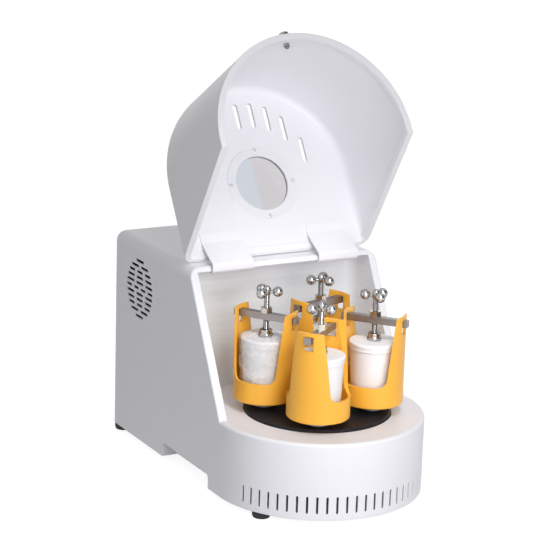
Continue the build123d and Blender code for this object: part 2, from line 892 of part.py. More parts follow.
def pinion_phase(name):
    """Turns a pinion so that one of its gaps meets the sun gear's tooth."""
    angle = math.radians(pot_angles[name])
    share = angle * sun_teeth / (2 * math.pi)
    return angle + math.pi + (share + 0.5) * 2 * math.pi / pinion_teeth


def planet_pinion(name):
    """Pinion, shaft, shoulders and the flange that the jar holder is bolted to."""
    x, y = pot_centre(name)
    pinion = gear(pinion_teeth, pinion_phase(name))
    pinion += column(planet_shoulder_radius, gear_top, disc_bottom - seat_gap)
    pinion += column(planet_shaft_radius, gear_top, holder_bottom)
    flange_low = holder_bottom - planet_flange_thickness
    pinion += column(planet_shoulder_radius, disc_top + seat_gap, flange_low)
    pinion += column(planet_flange_radius, flange_low, holder_bottom)
    return Pos(x, y, 0) * pinion


def main_shaft():
    """Shaft with a hub flange under the disc and a low cap above it."""
    shaft = column(main_shaft_radius, base_plate_top + belt_thickness, disc_top + shaft_cap_height)
    shaft = chamfer(shaft.edges().group_by(Axis.Z)[-1], shaft_cap_height / 2)
    return shaft + column(main_hub_radius, gear_top + disc_gap, disc_bottom)


def pulley(radius):
    """Flat-faced pulley between two flanges."""
    wheel = column(radius, pulley_bottom, pulley_top)
    flange_radius = radius + pulley_flange_rise
    wheel += column(flange_radius, pulley_bottom, pulley_bottom + pulley_flange_height)
    return wheel + column(flange_radius, pulley_top - pulley_flange_height, pulley_top)


def driven_pulley():
    return pulley(driven_pulley_radius) - column(main_shaft_radius + fit_gap, pulley_bottom, pulley_top)


def motor_pulley():
    """Small pulley on the motor's shaft."""
    shaft = column(motor_shaft_radius, pulley_bottom, frame_top + motor_shaft_grip)
    return Pos(0, motor_distance, 0) * (pulley(motor_pulley_radius) + shaft)


def belt_face(grow):
    """The shape that a band takes round both pulleys, grown outwards."""
    small = Pos(0, motor_distance) * Circle(motor_pulley_radius + grow)
    large = Circle(driven_pulley_radius + grow)
    return make_hull(large.edges() + small.edges())


def drive_belt():
    low = pulley_bottom + pulley_flange_height + belt_gap
    high = pulley_top - pulley_flange_height - belt_gap
    band = belt_face(belt_gap + belt_thickness) - belt_face(belt_gap)
    return extrude(Plane.XY.offset(low) * band, amount=high - low)


def drive_motor():
    """Round motor with cooling grooves, an end cap and a bore for its shaft."""
    body = column(motor_radius, frame_top, motor_top)
    groove_low = frame_top + motor_cap_height
    groove_high = motor_top - motor_cap_height
    for place in range(motor_rib_count):
        angle = 360 * place / motor_rib_count
        groove = block(motor_radius - motor_rib_depth, motor_radius + cut_overrun,
                       -motor_rib_width / 2, motor_rib_width / 2, groove_low, groove_high)
        body -= Rot(0, 0, angle) * groove
    body += column(motor_cap_radius, motor_top, motor_top + motor_cap_height)
    bore = motor_shaft_radius + running_gap
    body -= column(bore, frame_top - cut_overrun, frame_top + motor_shaft_grip + seat_gap)
    return Pos(0, motor_distance, 0) * body


def turntable():
    """Black disc with bearing seats for the four planet shafts."""
    disc = column(disc_radius, disc_bottom, disc_top)
    disc = chamfer(disc.edges().group_by(Axis.Z)[-1], disc_chamfer)
    disc -= column(main_shaft_radius + fit_gap, disc_bottom, disc_top)
    for name in pot_names:
        x, y = pot_centre(name)
        disc -= column(planet_bearing_radius + fit_gap, disc_bottom, disc_top, x, y)
    return disc


# Jar holders and their clamps

def holder_cut():
    """The two open sides of a holder: a tapered U with round lower corners, cut straight across."""
    low = math.sqrt(holder_radius**2 - (ear_chord_low / 2)**2)
    high = math.sqrt(holder_radius**2 - (ear_chord_top / 2)**2)
    spread = (high - low) / (ear_top - ring_top) * cut_overrun
    outline = make_face(Polyline((-low, ring_top), (low, ring_top), (high + spread, ear_top + cut_overrun),
                                 (-high - spread, ear_top + cut_overrun), close=True))
    outline = fillet(outline.vertices().group_by(Axis.Y)[0], ear_corner_radius)
    reach = holder_radius + cut_overrun
    return Pos(0, reach, 0) * extrude(Plane.XZ * outline, amount=2 * reach)


def jar_holder(name):
    """Cup ring and floor with two ears, each with a window for the crossbar."""
    holder = column(holder_radius, holder_bottom, ear_top)
    holder = chamfer(holder.edges().group_by(Axis.Z)[0], foot_chamfer)
    inner = holder_radius - holder_wall
    holder -= column(inner, holder_bottom + holder_floor, ear_top + cut_overrun)
    holder -= column(jar_bottom_radius + plug_gap, seat_level, holder_bottom + holder_floor + cut_overrun)
    holder -= holder_cut()
    reach = holder_radius + cut_overrun
    holder -= block(-reach, reach, -window_width / 2, window_width / 2, window_bottom, bar_top)
    return place_in_pot(name, bar_angles[name], holder)


def place_in_pot(name, angle, shape):
    x, y = pot_centre(name)
    return Pos(x, y, 0) * Rot(0, 0, angle) * shape


def turned(points):
    """A solid turned about Z from (radius, height) points."""
    outline = Plane.XZ * make_face(Polyline(*points, close=True))
    return revolve(outline, Axis.Z)


def jar(name):
    """Tapered beaker with a collar, hollow and open at the top."""
    inner_low = jar_bottom_radius - jar_wall
    inner_high = jar_top_radius - jar_wall
    points = [(0, seat_level), (jar_bottom_radius - jar_foot_chamfer, seat_level),
              (jar_bottom_radius, seat_level + jar_foot_chamfer), (jar_top_radius, collar_bottom),
              (collar_radius, collar_bottom), (collar_radius, lid_bottom), (inner_high, lid_bottom),
              (inner_low, seat_level + jar_wall), (0, seat_level + jar_wall)]
    return place_in_pot(name, 0, turned(points))


def jar_lid(name):
    """Flat lid with a soft rim and a plug that centres it in the jar."""
    lid = column(lid_radius, lid_bottom, jar_top)
    lid = fillet(lid.edges().group_by(Axis.Z)[-1], lid_edge_radius)
    plug_radius = jar_top_radius - jar_wall - plug_gap
    slope = (jar_top_radius - jar_bottom_radius) / (jar_height - lid_height) * plug_depth
    lid += column(plug_radius - slope, lid_bottom - plug_depth, lid_bottom)
    return place_in_pot(name, 0, lid)


def crossbar(name):
    """Square bar through both windows, with a welded nut over the jar."""
    reach = holder_radius + bar_overhang
    bar = block(-reach, reach, -bar_width / 2, bar_width / 2, bar_bottom, bar_top)
    bar += hex_nut(nut_across_flats, bar_top, bar_top + nut_height)
    bar -= column(screw_radius + running_gap, bar_bottom - cut_overrun, bar_top + nut_height + cut_overrun)
    return place_in_pot(name, bar_angles[name], bar)


def pressure_foot(name):
    """Round foot with a blind seat for the screw's end."""
    low = jar_top + seat_gap
    foot = column(foot_radius, low, foot_top)
    foot = chamfer(foot.edges(), foot_edge)
    foot -= column(screw_radius + running_gap, foot_top - screw_seat_depth, foot_top + cut_overrun)
    return place_in_pot(name, 0, foot)


def clamp_screw(name):
    """Screw with a domed hub and three ball-ended arms."""
    low = foot_top - screw_seat_depth + seat_gap
    screw = column(screw_radius, low, handle_height)
    crown_level = handle_height + hub_crown
    hub = column(hub_radius, handle_height - hub_drop, crown_level)
    screw += chamfer(hub.edges().group_by(Axis.Z)[0], foot_edge)
    screw += Pos(0, 0, crown_level) * Sphere(hub_radius)
    for place in range(handle_ball_count):
        turn = Rot(0, 0, 360 * place / handle_ball_count)
        screw += turn * side_rod(arm_radius, 0, ball_circle_radius, 0, handle_height)
        screw += turn * Pos(ball_circle_radius, 0, handle_height) * Sphere(ball_radius)
    return place_in_pot(name, handle_angles[name], screw)


# Hood

def slope_wedge(offset):
    """Everything in front of the sloping parting line, moved forwards by an offset."""
    far = -base_radius - 2 * cut_overrun
    low = deck_height - cut_overrun
    high = body_height + cut_overrun
    outline = [(far, low), (slope_y(low, offset), low), (slope_y(high, offset), high), (far, high)]
    return side_prism(outline, -base_radius - cut_overrun, base_radius + cut_overrun)


def hood_form(inset, top_wall, bottom):
    """Round-fronted block under the hood's top, with a rounded top edge."""
    back = slope_end + (cut_overrun if inset else 0)
    form = plan_prism(base_radius - inset, back, bottom, body_height - top_wall)
    edges = form.faces().sort_by(Axis.Z)[-1].edges().sort_by(Axis.Y)
    return fillet(edges[:-1], hood_edge_radius - inset)


def hood_slots():
    """Long slots right of the hood's middle, on an arc behind its front edge."""
    cutters = []
    for place in range(hood_slot_count):
        x = hood_slot_shift - slot_row_half + place * hood_slot_pitch
        y = -slot_arc_y * math.sqrt(1 - (x / slot_arc_x)**2)
        slot = extrude(Plane.XY * SlotOverall(hood_slot_length, hood_slot_width, rotation=90),
                       amount=hood_top_wall + 2 * cut_overrun)
        cutters.append(Pos(x, y, hood_plate_low - cut_overrun) * slot)
    return cutters


def hood_closed():
    """The hood in its shut place: walls with a thick rim, window seat, slots and holes."""
    bottom = deck_height + lid_gap
    hood = hood_form(0, 0, bottom) & slope_wedge(lid_gap)
    hollow = hood_form(hood_wall, hood_top_wall, bottom + hood_rim_depth)
    hood -= hollow & slope_wedge(lid_gap + hood_rim_depth)
    hood -= hood_form(hood_rim_width, hood_top_wall + hood_back_lip, bottom - cut_overrun)
    pocket_top = hood_plate_low + pane_thickness
    hood -= column(pane_radius + pane_gap, hood_plate_low - cut_overrun, pocket_top, 0, window_centre_y)
    hood -= column(glass_view_radius, hood_plate_low, body_height + cut_overrun, 0, window_centre_y)
    hood -= hood_slots()
    hood -= ring_screw_shanks(fit_gap)
    hood -= pull_stud(fit_gap)
    return hood


def opened(shape):
    """Swings a shape drawn with the hood shut up to the open place."""
    return shape.rotate(Axis((0, hinge_y, hinge_z), (1, 0, 0)), -hood_open_angle)


def lid_shell():
    return opened(hood_closed())


def window_pane():
    return opened(column(pane_radius, hood_plate_low, hood_plate_low + pane_thickness, 0, window_centre_y))


def window_ring():
    """Flat ring that holds the pane from inside the hood."""
    low = hood_plate_low - ring_thickness
    ring = column(ring_radius, low, hood_plate_low, 0, window_centre_y)
    ring = chamfer(ring.edges().group_by(Axis.Z)[0], ring_edge)
    ring -= column(glass_view_radius, low - cut_overrun, hood_plate_low + cut_overrun, 0, window_centre_y)
    return opened(ring - ring_screw_shanks(fit_gap))


def ring_screw_places():
    return [(ring_screw_circle * math.cos(math.radians(angle)),
             window_centre_y + ring_screw_circle * math.sin(math.radians(angle)))
            for angle in (360 * place / ring_screw_count for place in range(ring_screw_count))]


def ring_screw_shanks(gap=0.0):
    low = hood_plate_low - ring_thickness
    return [column(ring_screw_radius + gap, low, low + ring_screw_length, x, y)
            for x, y in ring_screw_places()]


def window_screws():
    """Round-headed screws that hold the ring."""
    low = hood_plate_low - ring_thickness
    screws = []
    for (x, y), shank in zip(ring_screw_places(), ring_screw_shanks()):
        head = column(ring_screw_head_radius, low - ring_screw_head_height, low, x, y)
        head = fillet(head.edges().group_by(Axis.Z)[0], ring_screw_head_height / 2)
        screws.append(opened(shank + head))
    return group(screws)


def pull_stud(gap=0.0):
    """The pull's stud, from inside the hood to its head, grown by a gap for its hole."""
    inner = base_radius - hood_wall - pull_nut_height - pull_stud_end
    outer = base_radius + pull_collar_length
    return front_rod(pull_stud_radius + gap, -outer, -inner, 0, deck_height + pull_height)


def lid_pull():
    """Turned pull knob outside the hood, with its nut inside."""
    z = deck_height + pull_height
    collar_end = -base_radius - pull_collar_length
    pull = pull_stud() + front_rod(pull_collar_radius, collar_end, -base_radius, 0, z)
    head = front_rod(pull_head_radius, collar_end - pull_head_length, collar_end, 0, z)
    pull += fillet(head.edges().filter_by(GeomType.CIRCLE), pull_collar_radius / 2)
    wall_face = -math.sqrt((base_radius - hood_wall)**2 - pull_nut_flats**2)
    nut = hex_nut(pull_nut_flats, 0, pull_nut_height)
    pull += Pos(0, wall_face, z) * Rot(-90, 0, 0) * nut
    return opened(pull)


# Hood hinges

def open_point(along, out):
    """A point on the open hood: so far along its plate from the hinge, so far out of it."""
    angle = math.radians(hood_open_angle)
    y = hinge_y - along * math.cos(angle) + out * math.sin(angle)
    z = hinge_z + along * math.sin(angle) + out * math.cos(angle)
    return y, z


def hinge_places():
    return [(side * arm_spread - arm_width / 2, side * arm_spread + arm_width / 2) for side in (-1, 1)]


def hinge_arm(x0, x1):
    """Gooseneck strap from the hinge pin, under and round the casing's edge, up to the hood's plate."""
    pad_out = hood_plate_low - hinge_z - arm_thickness / 2
    front_y = hinge_y - arm_front_reach
    run_z = hinge_z - arm_run_drop
    path = FilletPolyline((hinge_y, hinge_z - arm_root_drop), (hinge_y - arm_run_start, run_z),
                          (front_y, run_z), (front_y, hinge_z + arm_front_rise),
                          open_point(arm_pad_start, pad_out), open_point(arm_pad_end, pad_out),
                          radius=arm_bend_radii)
    strap = extrude(Plane.YZ.offset(x0) * trace(path, line_width=arm_thickness), amount=x1 - x0)
    middle = (x0 + x1) / 2
    knuckle_start = middle - arm_knuckle_length / 2
    knuckle_end = middle + arm_knuckle_length / 2
    clear = knuckle_radius + knuckle_gap
    strap -= side_rod(clear, x0 - cut_overrun, knuckle_start, hinge_y, hinge_z)
    strap -= side_rod(clear, knuckle_end, x1 + cut_overrun, hinge_y, hinge_z)
    strap += side_rod(knuckle_radius, knuckle_start, knuckle_end, hinge_y, hinge_z)
    return strap - side_rod(pin_radius + running_gap, x0, x1, hinge_y, hinge_z)


def hinge_arms():
    return group(hinge_arm(x0, x1) for x0, x1 in hinge_places())


def hinge_bracket(x0, x1):
    """Leaf under the casing's top with a knuckle at each end of the pin."""
    top = body_height - casing_wall
    leaf_low = top - leaf_thickness
    leaf_front = hinge_y + knuckle_radius + knuckle_gap
    bracket = block(x0, x1, leaf_front, leaf_front + leaf_length, leaf_low, top)
    middle = (x0 + x1) / 2
    inner = arm_knuckle_length / 2 + knuckle_gap
    for start, end in ((x0, middle - inner), (middle + inner, x1)):
        bracket += side_rod(knuckle_radius, start, end, hinge_y, hinge_z)
        bracket += block(start, end, hinge_y, leaf_front, leaf_low, hinge_z + knuckle_radius)
    return bracket - side_rod(pin_radius + fit_gap, x0, x1, hinge_y, hinge_z)


def hinge_brackets():
    """Both brackets and their pins."""
    pieces = []
    for x0, x1 in hinge_places():
        pieces.append(hinge_bracket(x0, x1))
        pieces.append(side_rod(pin_radius, x0, x1, hinge_y, hinge_z))
    return group(pieces)


single_pieces = (
    body_shell, chamber_liner, base_plate, rubber_feet, rear_panel, casing_screws, power_inlet, power_switch,
    control_panel, display_window, speed_knob, run_button, fan_frame, fan_rotor, drive_frame,
    bearing_housing, main_bearings, sun_gear, main_shaft, driven_pulley, motor_pulley, drive_belt,
    drive_motor, turntable, planet_bearings, lid_shell, window_pane, window_ring, window_screws, lid_pull,
    hinge_arms, hinge_brackets)
pot_pieces = (jar_holder, jar, jar_lid, crossbar, pressure_foot, clamp_screw, planet_pinion)

pieces = {make.__name__: make() for make in single_pieces}
for name in pot_names:
    for make in pot_pieces:
        pieces[f"{make.__name__}_{name}"] = make(name)

for node, shape in pieces.items():
    export_step(Pos(0, origin_shift, 0) * shape, f"parts/{node}.step")
    print(node, round(shape.volume))
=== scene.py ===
"""Desktop planetary ball mill with its hood open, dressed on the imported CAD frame.

Run as a script, the file registers its settings and operators, calls each operator once and
leaves the finished scene. Lengths are metres, +Z is up and the machine's front faces -Y.
"""

import math

import bmesh
import bpy
import numpy as np
from bpy.props import FloatProperty, FloatVectorProperty, IntProperty, PointerProperty
from mathutils import Matrix, Vector


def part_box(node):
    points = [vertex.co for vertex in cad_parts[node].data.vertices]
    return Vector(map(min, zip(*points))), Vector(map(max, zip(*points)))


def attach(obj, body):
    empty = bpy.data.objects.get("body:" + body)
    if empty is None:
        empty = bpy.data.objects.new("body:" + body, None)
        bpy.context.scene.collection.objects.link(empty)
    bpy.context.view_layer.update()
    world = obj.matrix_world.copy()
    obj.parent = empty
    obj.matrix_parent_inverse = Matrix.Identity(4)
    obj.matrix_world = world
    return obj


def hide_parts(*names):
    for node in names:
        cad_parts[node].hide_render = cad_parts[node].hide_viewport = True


bl_info = {
    "name": "Planetary Ball Mill",
    "version": (1, 0, 0),
    "blender": (4, 5, 0),
    "location": "View3D > Sidebar > Ball Mill",
    "description": "Dresses a desktop planetary ball mill with its finishes and fine pieces",
    "category": "Object",
}

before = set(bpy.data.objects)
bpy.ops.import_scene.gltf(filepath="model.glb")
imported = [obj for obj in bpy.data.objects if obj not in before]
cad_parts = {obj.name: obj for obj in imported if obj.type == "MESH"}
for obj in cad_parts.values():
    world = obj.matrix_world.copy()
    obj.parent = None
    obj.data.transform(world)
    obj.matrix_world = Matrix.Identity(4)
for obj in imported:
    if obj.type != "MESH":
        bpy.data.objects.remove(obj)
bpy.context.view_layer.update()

POTS = ("front", "right", "back", "left")
# Degrees that each pot's crossbar and handle are turned by about Z
BAR_TURNS = {"front": 38.0, "right": -52.0, "back": 15.0, "left": -56.0}
HANDLE_TURNS = {"front": 57.0, "right": 21.0, "back": 49.0, "left": 91.0}
# Points of a piece nearer than this, in metres, are one
MERGE_DISTANCE = 1e-6


# Places read from the frame

def middle(node):
    """The centre of a CAD node's box."""
    low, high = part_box(node)
    return (low + high) / 2


def levels(node):
    """The lowest and highest Z of a CAD node."""
    low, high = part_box(node)
    return low.z, high.z


# Mesh building

def rounded(points, setbacks, steps=6):
    """Softens an open polyline. Each inner corner turns into the parabola
    (1-t)^2 A + 2t(1-t) P + t^2 B between the points A and B, one setback along its two sides."""
    points = np.asarray(points, float)
    setbacks = np.broadcast_to(np.asarray(setbacks, float), len(points) - 2)[:, None]
    corner = points[1:-1]
    before = points[:-2] - corner
    after = points[2:] - corner
    start = corner + before / np.linalg.norm(before, axis=1, keepdims=True) * setbacks
    end = corner + after / np.linalg.norm(after, axis=1, keepdims=True) * setbacks
    t = np.linspace(0, 1, steps)[:, None, None]
    arcs = (1 - t) ** 2 * start + 2 * t * (1 - t) * corner + t**2 * end
    arcs = arcs.transpose(1, 0, 2).reshape(-1, points.shape[1])
    return np.vstack([points[:1], arcs, points[-1:]])


def spun(profile, segments, centre=(0, 0, 0)):
    """A surface of revolution about Z: each (radius, height) pair swept through a full turn."""
    angle = np.linspace(0, 2 * np.pi, segments, endpoint=False)[:, None]
    radius, height = np.asarray(profile, float).T
    grid = np.stack([radius * np.cos(angle), radius * np.sin(angle),
                     np.broadcast_to(height, (segments, len(height)))], axis=-1)
    return grid + np.asarray(centre, float)


def turned(grid, angle, axis="Z", about=(0, 0, 0)):
    """The grid's points turned about an axis through a point."""
    turn = np.array(Matrix.Rotation(angle, 3, axis))
    about = np.asarray(about, float)
    return (grid - about) @ turn.T + about


def surface(name, grids, material, body, smooth_angle=35.0):
    """One piece from grids of points. Cell (i, j) is the quad between neighbours on the grid, and
    each grid closes on itself along its first direction. Seams and poles are merged."""
    points, quads, coordinates = [], [], []
    start = 0
    for grid in grids:
        rows, columns = grid.shape[:2]
        index = start + np.arange(rows * columns).reshape(rows, columns)
        index = np.vstack([index, index[:1]])
        quads.append(np.stack([index[:-1, :-1], index[1:, :-1], index[1:, 1:], index[:-1, 1:]],
                              axis=-1).reshape(-1, 4))
        u, v = np.meshgrid(np.arange(rows + 1) / rows, np.linspace(0, 1, columns), indexing="ij")
        corners = np.stack([u, v], axis=-1)
        coordinates.append(np.stack([corners[:-1, :-1], corners[1:, :-1], corners[1:, 1:],
                                     corners[:-1, 1:]], axis=2).reshape(-1, 2))
        points.append(grid.reshape(-1, 3))
        start += rows * columns
    mesh = bpy.data.meshes.new(name)
    mesh.from_pydata(np.vstack(points), [], np.vstack(quads))
    layer = mesh.uv_layers.new(name="Surface")
    layer.data.foreach_set("uv", np.vstack(coordinates).astype(np.float32).ravel())
    build = bmesh.new()
    build.from_mesh(mesh)
    bmesh.ops.remove_doubles(build, verts=build.verts, dist=MERGE_DISTANCE)
    bmesh.ops.dissolve_degenerate(build, edges=build.edges, dist=MERGE_DISTANCE / 10)
    bmesh.ops.recalc_face_normals(build, faces=build.faces)
    build.to_mesh(mesh)
    build.free()
    mesh.shade_smooth()
    mesh.set_sharp_from_angle(angle=math.radians(smooth_angle))
    mesh.materials.append(material)
    piece = bpy.data.objects.new(name, mesh)
    bpy.context.scene.collection.objects.link(piece)
    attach(piece, body)
    return piece


# Shader building

class Signal:
    """One value in a material. Python's operators on it add Math nodes, so a formula reads as
    it is written."""

    def __init__(self, nodes, socket):
        self.nodes = nodes
        self.socket = socket

    def maths(self, operation, *others):
        """An operation on this value, with the others after it."""
        return self.nodes.add("ShaderNodeMath", {"operation": operation},
                              dict(enumerate((self, *others))))

    def reflected(self, operation, other):
        """An operation on another value, with this one after it."""
        return self.nodes.add("ShaderNodeMath", {"operation": operation}, {0: other, 1: self})

    def __add__(self, other):
        return self.maths("ADD", other)

    def __sub__(self, other):
        return self.maths("SUBTRACT", other)

    def __rsub__(self, other):
        return self.reflected("SUBTRACT", other)

    def __mul__(self, other):
        return self.maths("MULTIPLY", other)

    def __truediv__(self, other):
        return self.maths("DIVIDE", other)

    def __rtruediv__(self, other):
        return self.reflected("DIVIDE", other)

    def __pow__(self, other):
        return self.maths("POWER", other)

    def __rpow__(self, other):
        return self.reflected("POWER", other)

    __radd__ = __add__
    __rmul__ = __mul__

    def above(self, limit):
        """1 where the value is above a limit, else 0."""
        return self.maths("GREATER_THAN", limit)

    def clamped(self):
        """The value kept between 0 and 1."""
        return self.maths("MAXIMUM", 0.0).maths("MINIMUM", 1.0)


class Nodes:
    """The node tree of a material or a world, emptied and ready to build."""

    def __init__(self, owner):
        owner.use_nodes = True
        self.owner = owner
        self.tree = owner.node_tree
        self.tree.nodes.clear()

    def add(self, kind, settings=None, inputs=None, output=0):
        """Adds a node: its settings first, a ramp's stops among them, then a value or a link
        for each socket."""
        node = self.tree.nodes.new(kind)
        for name, value in (settings or {}).items():
            if name == "stops":
                ramp = node.color_ramp.elements
                for place, (position, colour) in enumerate(value):
                    stop = ramp[place] if place < 2 else ramp.new(position)
                    stop.position = position
                    stop.color = (*colour, 1.0)
            else:
                setattr(node, name, value)
        for name, value in (inputs or {}).items():
            if isinstance(value, Signal):
                self.tree.links.new(value.socket, node.inputs[name])
            elif node.inputs[name].type == "RGBA":
                node.inputs[name].default_value = (*value[:3], 1.0)
            else:
                node.inputs[name].default_value = value
        return Signal(self, node.outputs[output]) if node.outputs else None

    def place(self, centre=(0.0, 0.0, 0.0), turn=0.0, stretch=(1.0, 1.0, 1.0)):
        """Object coordinates about a centre, turned about Z, then divided by a stretch."""
        point = self.add("ShaderNodeTexCoord", output="Object")
        return self.add("ShaderNodeMapping", {"vector_type": "TEXTURE"},
                        {"Vector": point, "Location": centre, "Rotation": (0.0, 0.0, turn), "Scale": stretch})

    def noise(self, vector, scale, detail=3.0, roughness=0.5):
        """Noise from 0 to 1. Detail counts its finer layers and roughness is their weight."""
        return self.add("ShaderNodeTexNoise", None,
                        {"Vector": vector, "Scale": scale, "Detail": detail, "Roughness": roughness})

    def height(self, vector):
        """The Z part of a vector."""
        return self.add("ShaderNodeSeparateXYZ", None, {"Vector": vector}, "Z")

    def mix(self, factor, first, second):
        """A colour between two colours."""
        return self.add("ShaderNodeMix", {"data_type": "RGBA"}, {0: factor, 6: first, 7: second}, 2)

    def bump(self, relief, distance, softness=0.0):
        """A normal from a relief map, on edges that are rounded by a soft radius."""
        inputs = {"Height": relief, "Distance": distance, "Strength": 1.0}
        if softness:
            inputs["Normal"] = self.add("ShaderNodeBevel", {"samples": 6}, {"Radius": softness})
        return self.add("ShaderNodeBump", None, inputs)

    def seen(self):
        """1 where the camera looks, straight, in a reflection or through a clear part, else 0."""
        kinds = [self.add("ShaderNodeLightPath", output=f"Is {kind} Ray")
                 for kind in ("Camera", "Glossy", "Transmission")]
        return (kinds[0] + kinds[1] + kinds[2]).clamped()

    def principled(self, **sockets):
        """The material's surface, with each socket named in words joined by underscores."""
        named = {name.replace("_", " "): value for name, value in sockets.items()}
        shader = self.add("ShaderNodeBsdfPrincipled", None, named)
        self.add("ShaderNodeOutputMaterial", None, {"Surface": shader})
        return self.owner


def new_finish(name):
    """A new material's empty node tree."""
    return Nodes(bpy.data.materials.new(name))


def shaded(colour, share):
    """A colour made darker or lighter by a share."""
    return tuple(min(part * share, 1.0) for part in colour)


def moulded(name, colour, roughness=0.42, grain=0.00003, softness=0.0):
    """Moulded or painted plastic: faint mottling, a fine pitted grain and uneven gloss."""
    nodes = new_finish(name)
    point = nodes.place()
    mottle = nodes.noise(point, 9.0, 4.0)
    pits = nodes.noise(point, 900.0, 2.0)
    base = nodes.mix(mottle, shaded(colour, 0.965), shaded(colour, 1.02))
    gloss = roughness + (mottle - 0.5) * 0.12 + (pits - 0.5) * 0.06
    return nodes.principled(
        Base_Color=base, Roughness=gloss, Normal=nodes.bump(pits, grain, softness))


def lined(name, colour, pitch):
    """Painted sheet with faint lines across its height, as a drawn panel shows."""
    nodes = new_finish(name)
    point = nodes.place()
    wander = nodes.noise(point, 5.0, 2.0)
    waves = ((nodes.height(point) / pitch + wander * 1.2) * math.tau).maths("SINE")
    streak = nodes.noise(nodes.place(stretch=(6.0, 6.0, 0.05)), 9.0, 3.0)
    tone = (waves * 0.12 + streak).clamped()
    base = nodes.mix(tone, shaded(colour, 0.95), shaded(colour, 1.03))
    return nodes.principled(Base_Color=base, Roughness=0.45 + (streak - 0.5) * 0.15,
                            Normal=nodes.bump(streak + waves * 0.2, 0.00004))


def polished(name, colour, roughness=0.1, scratch=0.000004):
    """Plated or polished metal with fine random scratches and dull patches."""
    nodes = new_finish(name)
    point = nodes.place()
    patches = nodes.noise(point, 60.0, 4.0)
    hairs = nodes.noise(nodes.place(turn=0.6, stretch=(0.2, 6.0, 1.0)), 700.0, 2.0)
    tone = nodes.mix(patches, shaded(colour, 0.86), shaded(colour, 1.05))
    gloss = roughness + (patches - 0.5) * 0.12 + (hairs - 0.5) * 0.06
    return nodes.principled(Base_Color=tone, Metallic=1.0, Roughness=gloss.clamped(),
                            Specular_Tint=(0.15, 0.15, 0.15), Normal=nodes.bump(hairs, scratch))


def brushed(name, colour, turn, centre, nut_level, nut_colour, softness=0.0004):
    """Flat bar brushed along its length, under a plated nut that starts at a level."""
    nodes = new_finish(name)
    strokes = nodes.noise(nodes.place(centre, turn, (20.0, 0.35, 0.35)), 420.0, 4.0, 0.7)
    smudge = nodes.noise(nodes.place(centre, turn), 45.0, 4.0, 0.6)
    nut = nodes.height(nodes.place()).above(nut_level)
    steel = nodes.mix((strokes * 0.6 + smudge * 0.5).clamped(), shaded(colour, 0.6), shaded(colour, 1.25))
    base = nodes.mix(nut, steel, nut_colour)
    gloss = (0.3 + strokes * 0.22) * (1 - nut) + (0.14 + smudge * 0.12) * nut
    return nodes.principled(Base_Color=base, Metallic=1.0, Roughness=gloss,
                            Normal=nodes.bump(strokes * (1 - nut), 0.00002, softness))


def lathed(name, colour, centre, roughness=0.34, ring_pitch=0.0011, metallic=0.0, gleam=0.5):
    """A face turned on a lathe: fine rings about its axis and rubbed patches."""
    nodes = new_finish(name)
    local = nodes.place(centre)
    flat = nodes.add("ShaderNodeVectorMath", {"operation": "MULTIPLY"}, {0: local, 1: (1.0, 1.0, 0.0)})
    radius = nodes.add("ShaderNodeVectorMath", {"operation": "LENGTH"}, {0: flat}, "Value")
    rings = (radius * (math.tau / ring_pitch)).maths("SINE") * 0.5 + 0.5
    rubbed = nodes.noise(local, 28.0, 5.0, 0.6)
    base = nodes.mix(rubbed, shaded(colour, 0.75), shaded(colour, 1.35))
    gloss = roughness + (rubbed - 0.5) * 0.25 + rings * 0.05
    return nodes.principled(Base_Color=base, Metallic=metallic, Roughness=gloss.clamped(),
                            Specular_IOR_Level=gleam, Normal=nodes.bump(rings, 0.00001))


def rubber(name, colour):
    """Dull rubber with a coarse grain and pale dust in its hollows."""
    nodes = new_finish(name)
    point = nodes.place()
    grain = nodes.noise(point, 1600.0, 3.0)
    dust = nodes.noise(point, 40.0, 5.0, 0.7) ** 3.0
    base = nodes.mix(dust, colour, shaded(colour, 3.0))
    return nodes.principled(Base_Color=base, Roughness=0.72 + (grain - 0.5) * 0.2,
                            Normal=nodes.bump(grain, 0.00005))


def cast(name, colour, metallic=0.0, roughness=0.55):
    """Cast or ground metal with a sandy skin."""
    nodes = new_finish(name)
    point = nodes.place()
    sand = nodes.noise(point, 700.0, 4.0, 0.6)
    stain = nodes.noise(point, 22.0, 4.0)
    base = nodes.mix(stain, shaded(colour, 0.8), shaded(colour, 1.15))
    return nodes.principled(Base_Color=base, Metallic=metallic, Roughness=roughness + (stain - 0.5) * 0.2,
                            Normal=nodes.bump(sand, 0.00006))


def chalky(name, colour):
    """Unglazed white ceramic: chalky, with faint grey rubs and turning marks."""
    nodes = new_finish(name)
    point = nodes.place()
    rub = nodes.noise(point, 34.0, 5.0, 0.62)
    chalk = nodes.noise(point, 1500.0, 2.0)
    rings = (nodes.height(point) * (math.tau / 0.0016)).maths("SINE")
    base = nodes.mix(rub, shaded(colour, 0.94), shaded(colour, 1.03))
    return nodes.principled(Base_Color=base, Roughness=0.46 + (rub - 0.5) * 0.2,
                            Normal=nodes.bump(chalk + rings * 0.25, 0.00002))


def clear_pane(name, tint, reflection_tint, centre):
    """Smoke-tinted clear sheet with faint wipe marks in its gloss, and a painted bluish reflection left of
    its middle.
    """
    nodes = new_finish(name)
    wipe = nodes.noise(nodes.place(turn=0.5, stretch=(3.0, 0.6, 1.0)), 26.0, 4.0, 0.6)
    across = nodes.add("ShaderNodeSeparateXYZ", None, {"Vector": nodes.place(centre)}, "X")
    # Painted reflection: the bluish tint fades in from 6 to 8.5 mm left of the middle
    left = ((across + 0.006) * -400.0).clamped()
    base = nodes.mix(left, nodes.mix(wipe, tint, shaded(tint, 1.1)), reflection_tint)
    return nodes.principled(Base_Color=base, Roughness=0.04 + wipe * 0.08, Transmission_Weight=1.0, IOR=1.49)


